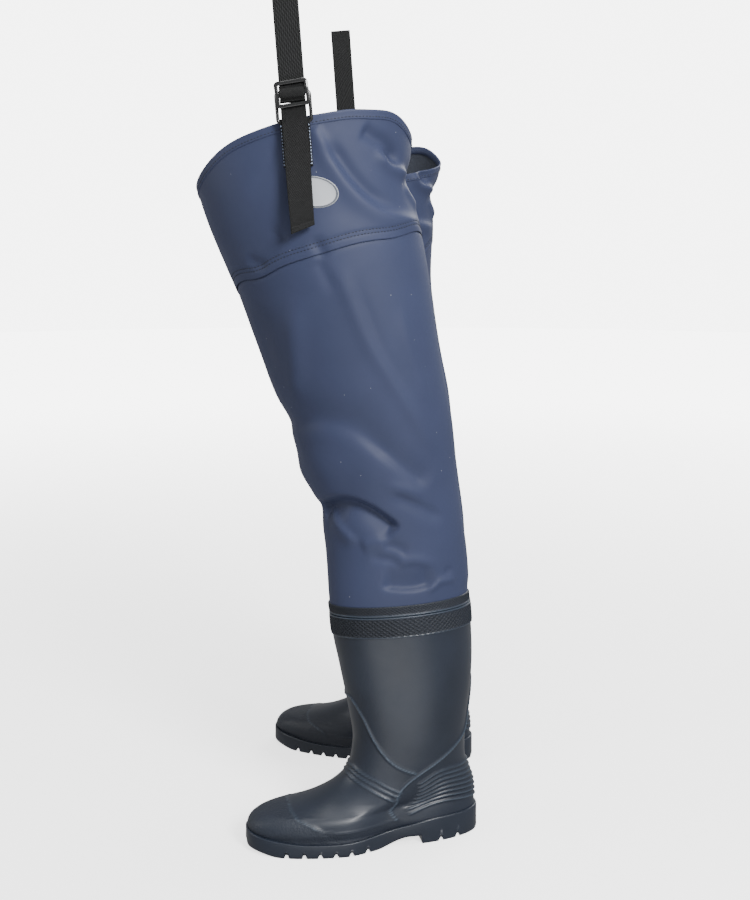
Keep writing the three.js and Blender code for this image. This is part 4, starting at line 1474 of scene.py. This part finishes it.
def webbing_mesh(name, side, path, width, thickness, steps=4, wave=None, tilt=0.0, twist=None, slant=None):
    """Webbing whose middle line runs through (outward, up) points. It can be waved, tilted as a
    whole, twisted along its length, and cut at a slant."""
    line = smooth_line(path, steps)
    keep = np.concatenate([[True], np.linalg.norm(np.diff(line, axis=0), axis=1) > 0.02])
    line = line[keep]
    ahead = np.gradient(line, axis=0)
    ahead /= np.linalg.norm(ahead, axis=1)[:, None]
    normal = np.stack([-ahead[:, 1], ahead[:, 0]], -1)
    length = np.sum(np.linalg.norm(np.diff(line, axis=0), axis=1))
    section = band_section(width, thickness)
    columns, rows = len(section), len(line) - 1

    def place(u, v):
        i = np.round(u * columns).astype(int) % columns
        j = np.round(v * rows).astype(int)
        across, through = section[i, 0], section[i, 1]
        if wave is not None:
            through = through + wave(across, j / rows)
        rise = slant(j / rows) * across if slant is not None else 0
        if twist is not None:
            turn = twist(j / rows)
            across, through = (
                across * np.cos(turn) - through * np.sin(turn),
                across * np.sin(turn) + through * np.cos(turn),
            )
        point = line[j] + normal[j] * through[:, None]
        outward, up = point[:, 0], point[:, 1] + rise
        if tilt:
            middle = SLIDER_HEIGHT / 2
            rise = up - SLIDER_LOW - middle
            across, up = (
                across * math.cos(tilt) - rise * math.sin(tilt),
                SLIDER_LOW + middle + across * math.sin(tilt) + rise * math.cos(tilt),
            )
        return strap_point(side, across, outward, up)

    girth = 2 * (width + thickness)
    return grid_mesh(name, columns, rows, place, (girth * MM, length * MM), close=True)


def tab_path():
    """Middle line of the tab: up its back layer, over the ring and down its front layer."""
    back = -WRAP
    front = back + 1.6 + CLEARANCE
    return [
        (back - TAB_STEP, -TAB_LENGTH), (back - TAB_STEP, -30), (back - TAB_STEP, -15), (back, -8),
        *arc(0, 0, WRAP, 180, 0, 10),
        (WRAP - 0.4, -3), (front, -9), (front - TAB_STEP, -15), (front - TAB_STEP, -30),
        (front - TAB_STEP, -TAB_LENGTH),
    ]


def strap_path():
    """Middle line of the belt strap: round the ring, up, over the loop's top and down to the slider."""
    back = -WRAP
    top = LOOP_TOP - LOOP_ROOM / 2
    middle, half = (FRONT_LAYER + back) / 2, (FRONT_LAYER - back) / 2
    return [
        (WRAP, RING_HEIGHT + 5),
        *arc(0, RING_HEIGHT, WRAP, 0, -180, 10),
        (back - 0.2, RING_HEIGHT + 20), (back - 0.5, top - 60), (back - 0.5, top - 22),
        *arc(middle, top - half, half + 0.5, 180, 0, 10),
        (FRONT_LAYER, top - 22), (FRONT_LAYER, top - 60),
        (FRONT_LAYER, SLIDER_LOW + SLIDER_HEIGHT + 8), (FRONT_LAYER, TAIL_TOP + 1),
    ]


def ring_mesh(side):
    """Rectangular ring of round rod, its corners rounded."""
    w, h, r = RING_WIDTH / 2 - RING_ROD, RING_HEIGHT, RING_CORNER
    path = []
    for across, up, start in ((w - r, h - r, 0), (-w + r, h - r, 90), (-w + r, r, 180), (w - r, r, 270)):
        path += arc(across, up, r, start, start + 90, 6)
    path = np.array(path)
    ahead = np.roll(path, -1, 0) - np.roll(path, 1, 0)
    ahead /= np.linalg.norm(ahead, axis=1)[:, None]
    columns, rows = 16, len(path)

    def place(u, v):
        j = np.round(v * rows).astype(int) % rows
        turn = u * math.tau
        reach = RING_ROD * np.cos(turn)
        return strap_point(
            side, path[j, 0] + ahead[j, 1] * reach, RING_ROD * np.sin(turn), path[j, 1] - ahead[j, 0] * reach
        )

    return grid_mesh("ring", columns, rows, place, (0.0125, 0.14))


def slider_mesh(side):
    """Three-bar slider: a plate with two slots and rounded corners and edges."""
    shape = bmesh.new()
    bmesh.ops.create_grid(shape, x_segments=5, y_segments=5, size=0.5)
    half = SLIDER_WIDTH / 2
    columns = [-half, -half + SLIDER_BAR, -6, 6, half - SLIDER_BAR, half]
    slot = (SLIDER_HEIGHT - 3 * SLIDER_BAR) / 2
    second = 2 * SLIDER_BAR + slot
    rows = [0, SLIDER_BAR, SLIDER_BAR + slot, second, SLIDER_HEIGHT - SLIDER_BAR, SLIDER_HEIGHT]
    for vertex in shape.verts:
        column, row = (round((c + 0.5) * 5) for c in vertex.co[:2])
        vertex.co = (columns[column], rows[row], 0)
    holes = [
        face
        for face in shape.faces
        if abs(face.calc_center_median().x) < half - SLIDER_BAR
        and any(low < face.calc_center_median().y < low + slot for low in (SLIDER_BAR, second))
    ]
    bmesh.ops.delete(shape, geom=holes, context="FACES")
    pulled = bmesh.ops.extrude_face_region(shape, geom=list(shape.faces))
    fresh = [v for v in pulled["geom"] if isinstance(v, bmesh.types.BMVert)]
    bmesh.ops.translate(shape, vec=(0, 0, SLIDER_THICKNESS), verts=fresh)
    corners = [
        edge
        for edge in shape.edges
        if abs(edge.verts[0].co.z - edge.verts[1].co.z) > 1
        and abs(abs(edge.verts[0].co.x) - half) < 0.01
        and min(edge.verts[0].co.y, SLIDER_HEIGHT - edge.verts[0].co.y) < 0.01
    ]
    bmesh.ops.bevel(shape, geom=corners, offset=4.5, segments=5, profile=0.5, affect="EDGES", material=-1)
    sharp = [edge for edge in shape.edges if edge.is_manifold and edge.calc_face_angle(0) > math.radians(50)]
    bmesh.ops.bevel(shape, geom=sharp, offset=1.2, segments=3, profile=0.5, affect="EDGES", material=-1)
    bmesh.ops.recalc_face_normals(shape, faces=shape.faces)
    mesh = bpy.data.meshes.new("slider")
    shape.to_mesh(mesh)
    shape.free()
    flat = np.empty(len(mesh.vertices) * 3)
    mesh.vertices.foreach_get("co", flat)
    across, up, through = flat.reshape(-1, 3).T
    middle = SLIDER_HEIGHT / 2
    rise = up - middle
    turned = across * math.cos(SLIDER_TILT) - rise * math.sin(SLIDER_TILT)
    level = SLIDER_LOW + middle + across * math.sin(SLIDER_TILT) + rise * math.cos(SLIDER_TILT)
    point = strap_point(side, turned, SLIDER_BACK + through, level)
    mesh.vertices.foreach_set("co", in_metres(point).ravel())
    tidy_mesh(mesh)
    return mesh


def slider_web_path():
    """Webbing over the slider's middle bar, out of its upper slot and back into its lower one."""
    low, face = SLIDER_LOW, SLIDER_BACK + SLIDER_THICKNESS + 0.95
    halfway = mix(FRONT_LAYER + 2, face, 0.5)
    return [
        (FRONT_LAYER + 1.85, low + 22.6), (FRONT_LAYER + 1.95, low + 20.6), (halfway, low + 19),
        (face - 0.3, low + 17.7), (face + 0.3, low + 15.9), (face + 0.45, low + 14.2),
        (face + 0.3, low + 12.5), (face - 0.3, low + 10.7), (halfway, low + 9.4),
        (FRONT_LAYER + 1.95, low + 7.9), (FRONT_LAYER + 1.85, low + 5.9),
    ]


class WADERS_OT_straps(bpy.types.Operator):
    """Adds the tabs, rings, belt straps, hanging ends and sliders"""

    bl_idname = "waders.straps"
    bl_label = "Straps"

    def execute(self, context):
        settings, cloth = context.scene.wader_strap, context.scene.wader_fabric
        web = finish_of("webbing", webbing_weave)
        gloss = finish_of("buckle plastic", buckle_gloss)
        thread = finish_of("light thread", sewing_thread)
        width, thick = settings.webbing_width / MM, settings.webbing_thickness / MM
        made = []

        def add(piece, slot, *nodes):
            if nodes:
                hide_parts(*nodes)
            made.append(piece)

        for name, side in SIDES.items():
            mesh = webbing_mesh("tab", side, tab_path(), TAB_WIDTH, thick)
            add(add_piece(f"{name}_tab", mesh, web, f"{name}_thigh"), "webbing", f"{name}_anchor_tab")
            mesh = webbing_mesh("belt strap", side, strap_path(), width, thick)
            belt = add_piece(f"{name}_belt_webbing", mesh, web, f"{name}_strap")
            add(belt, "webbing", f"{name}_belt_strap")
            tail = [(FRONT_LAYER, TAIL_TOP), (FRONT_LAYER, 0), (FRONT_LAYER, -40), (FRONT_LAYER + 1, -80)]
            tail += [(FRONT_LAYER + 1.4, -104), (FRONT_LAYER + 1.5, TAIL_BOTTOM + 4)]

            def seal(across, share):
                return 0.25 * smoothstep(share, 0.95, 0.99) * np.sin(across * 0.9)

            def twist(share):
                return TAIL_TWIST * smoothstep(share, 0.25, 0.9)

            def cut(share):
                return TAIL_SLANT * smoothstep(share, 0.8, 1)

            mesh = webbing_mesh("tail", side, tail, width, thick, 6, wave=seal, twist=twist, slant=cut)
            hanging = add_piece(f"{name}_tail_webbing", mesh, web, f"{name}_tail")
            add(hanging, "webbing", f"{name}_strap_tail")
            fold_line = [(FRONT_LAYER + 1.5, TAIL_BOTTOM + 8), (FRONT_LAYER + 1.9, TAIL_BOTTOM + 3)]
            fold_line += [(FRONT_LAYER + 1.9, TAIL_BOTTOM + 1.4)]
            mesh = webbing_mesh(
                "tail end", side, fold_line, width + 0.5, thick + 0.9, 4,
                twist=lambda share: TAIL_TWIST + 0 * share, slant=lambda share: TAIL_SLANT + 0 * share,
            )
            add(add_piece(f"{name}_tail_end", mesh, web, f"{name}_tail"), "webbing")
            ring = add_piece(f"{name}_strap_ring", ring_mesh(side), gloss, f"{name}_ring")
            add(ring, "buckle_plastic", f"{name}_ring")
            slider = add_piece(f"{name}_slider_buckle", slider_mesh(side), gloss, f"{name}_slider")
            add(slider, "buckle_plastic", f"{name}_slider")
            path, half_tilt = slider_web_path(), SLIDER_TILT * 0.5
            mesh = webbing_mesh("slider webbing", side, path, width, thick, 4, tilt=half_tilt)
            add(add_piece(f"{name}_slider_webbing", mesh, web, f"{name}_slider"), "webbing")

            front = -WRAP + 1.6 + CLEARANCE - TAB_STEP + thick / 2 + 0.2
            rows = []
            for hand in (-1, 1):
                ups = np.arange(-TAB_LENGTH + 3, -4, 3.4)
                rows += [(hand * (TAB_WIDTH / 2 - 1.1), u) for u in ups]
            across = np.linspace(-TAB_WIDTH / 2 + 1.8, TAB_WIDTH / 2 - 1.8, 9)
            for label, spots in (
                ("tab_stitches_rear", [r for r in rows if r[0] > 0]),
                ("tab_stitches_front", [r for r in rows if r[0] < 0]),
                ("tab_stitches_low", [(a, -TAB_LENGTH + 2.5) for a in across]),
            ):
                spots = np.array(spots)
                lift = np.interp(spots[:, 1], [-16, -9, -3], [0, TAB_STEP, 2 * WRAP])
                points = strap_point(side, spots[:, 0], front + lift, spots[:, 1])
                outward = np.tile([float(side), 0, 0], (len(points), 1))
                row = add_stitches(
                    f"{name}_{label}", points, outward, f"{name}_thigh", thread, 2.6, cloth.thread_radius / MM
                )
                add(row, "webbing")
        need(made, "strap")
        return {"FINISHED"}


# Section of the label, from its middle to its edge: share of the way, and thickness.
LABEL_SECTION = ((0, 0.75), (0.8, 0.75), (0.86, 0.85), (0.9, 1.1), (0.94, 1.1), (0.985, 0.8), (1, 0.1))


class WADERS_OT_labels(bpy.types.Operator):
    """Adds the printed oval label of each yoke"""

    bl_idname = "waders.labels"
    bl_label = "Labels"

    def execute(self, context):
        print_finish = finish_of("label print", label_print)
        made = []
        for name, side in SIDES.items():

            def oval(u, v, side=side):
                turn = u * math.tau
                depth = along(LEG_PROFILE, 4, LABEL_HEIGHT)
                share = np.minimum(v, 1.0)
                angle = LABEL_ANGLE + share * LABEL_HALF_WIDTH * np.cos(turn) / depth
                z = LABEL_HEIGHT + share * LABEL_HALF_HEIGHT * np.sin(turn)
                lift = np.interp(v, *zip(*LABEL_SECTION))
                return fabric_point(angle, z, side, lift)

            mesh = grid_mesh("label", 96, 24, oval, (1, 1))
            piece = add_piece(f"{name}_oval_label", mesh, print_finish, f"{name}_thigh")
            add_wall(piece, 0.3)
            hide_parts(f"{name}_label")
            made.append(piece)
        need(made, "label")
        return {"FINISHED"}


# Stage ----------------------------------------------------------------------------------------

STAGE_RADIUS = 9
LAMP_TARGET = (0.1, 0.0, 0.5)
CAMERA_OFFSET = 0.0327
CAMERA_DOWN = 10
LENS, SENSOR = 48, 36


class WADERS_OT_stage(bpy.types.Operator):
    """Adds the floor, the lights and the camera"""

    bl_idname = "waders.stage"
    bl_label = "Stage"

    def execute(self, context):
        settings = context.scene.wader_stage
        plane = bmesh.new()
        bmesh.ops.create_circle(plane, cap_ends=True, segments=96, radius=STAGE_RADIUS)
        mesh = bpy.data.meshes.new("floor")
        plane.to_mesh(mesh)
        plane.free()
        floor = add_piece("floor", mesh, finish_of("floor", studio_floor))
        shell = bmesh.new()
        bmesh.ops.create_uvsphere(shell, u_segments=48, v_segments=24, radius=STAGE_RADIUS)
        bmesh.ops.reverse_faces(shell, faces=shell.faces)
        mesh = bpy.data.meshes.new("backdrop")
        shell.to_mesh(mesh)
        shell.free()
        backdrop = add_piece("backdrop", mesh, finish_of("backdrop", studio_backdrop))
        # The floor and backdrop are only looked at: the lamps and the world light the waders.
        for stage in (floor, backdrop):
            stage.visible_diffuse = stage.visible_glossy = stage.visible_shadow = False

        world = bpy.data.worlds.new("studio")
        context.scene.world = world
        world.use_nodes = True
        sky = world.node_tree.nodes["Background"]
        sky.inputs["Color"].default_value = (1.0, 1.0, 1.0, 1.0)
        sky.inputs["Strength"].default_value = settings.sky

        lights = [
            ("key", (2.1, 1.3, 1.9), settings.key_power, 0.9),
            ("fill", (0.6, -2.4, 1.2), settings.fill_power, 1.2),
            ("back", (-1.9, 1.2, 1.8), settings.fill_power * 2, 1.2),
            ("top", (0.3, 0.1, 2.6), settings.fill_power * 2, 1.2),
            ("bounce", (0.85, 0.12, -0.05), settings.bounce_power, 0.9),
        ]
        target = Vector(LAMP_TARGET)
        for name, at, power, size in lights:
            lamp = bpy.data.lights.new(name, "AREA")
            lamp.shape, lamp.energy, lamp.size = "DISK", power, size
            holder = bpy.data.objects.new(name, lamp)
            context.scene.collection.objects.link(holder)
            holder.location = at
            aim = Vector((0, 0, 1)) if at[2] < 0 else target - Vector(at)
            holder.rotation_euler = aim.to_track_quat("-Z", "Y").to_euler()

        lens = bpy.data.cameras.new("camera")
        lens.lens, lens.sensor_width, lens.sensor_fit = LENS, SENSOR, "AUTO"
        lens.clip_start = 0.05
        camera = bpy.data.objects.new("camera", lens)
        context.scene.collection.objects.link(camera)
        camera.location = (settings.distance, CAMERA_OFFSET, settings.eye_height)
        camera.rotation_euler = (math.radians(90 - CAMERA_DOWN), 0, math.radians(90))
        context.scene.camera = camera
        need([floor, camera], "stage")
        return {"FINISHED"}


class WADERS_PT_sidebar(bpy.types.Panel):
    """Lists the waders' pieces and settings"""

    bl_idname = "WADERS_PT_sidebar"
    bl_label = "Hip Waders"
    bl_space_type = "VIEW_3D"
    bl_region_type = "UI"
    bl_category = "Waders"

    def draw(self, context):
        for operator in OPERATORS:
            self.layout.operator(operator.bl_idname)
        for group in SETTINGS:
            box = self.layout.box()
            for key in SETTINGS[group].__annotations__:
                box.prop(getattr(context.scene, group), key)


OPERATORS = [
    WADERS_OT_stage,
    WADERS_OT_soles,
    WADERS_OT_boots,
    WADERS_OT_rims,
    WADERS_OT_legs,
    WADERS_OT_yokes,
    WADERS_OT_stitching,
    WADERS_OT_straps,
    WADERS_OT_labels,
]
SETTINGS = {
    "wader_fabric": FabricSettings,
    "wader_boot": BootSettings,
    "wader_strap": StrapSettings,
    "wader_stage": StageSettings,
}


def register():
    for cls in (*SETTINGS.values(), *OPERATORS, WADERS_PT_sidebar):
        bpy.utils.register_class(cls)
    for name, cls in SETTINGS.items():
        setattr(bpy.types.Scene, name, bpy.props.PointerProperty(type=cls))


def unregister():
    for name in SETTINGS:
        delattr(bpy.types.Scene, name)
    for cls in (WADERS_PT_sidebar, *reversed(OPERATORS), *SETTINGS.values()):
        bpy.utils.unregister_class(cls)


def main():
    register()
    for operator in OPERATORS:
        group, name = operator.bl_idname.split(".")
        getattr(getattr(bpy.ops, group), name)()


if __name__ == "__main__":
    main()
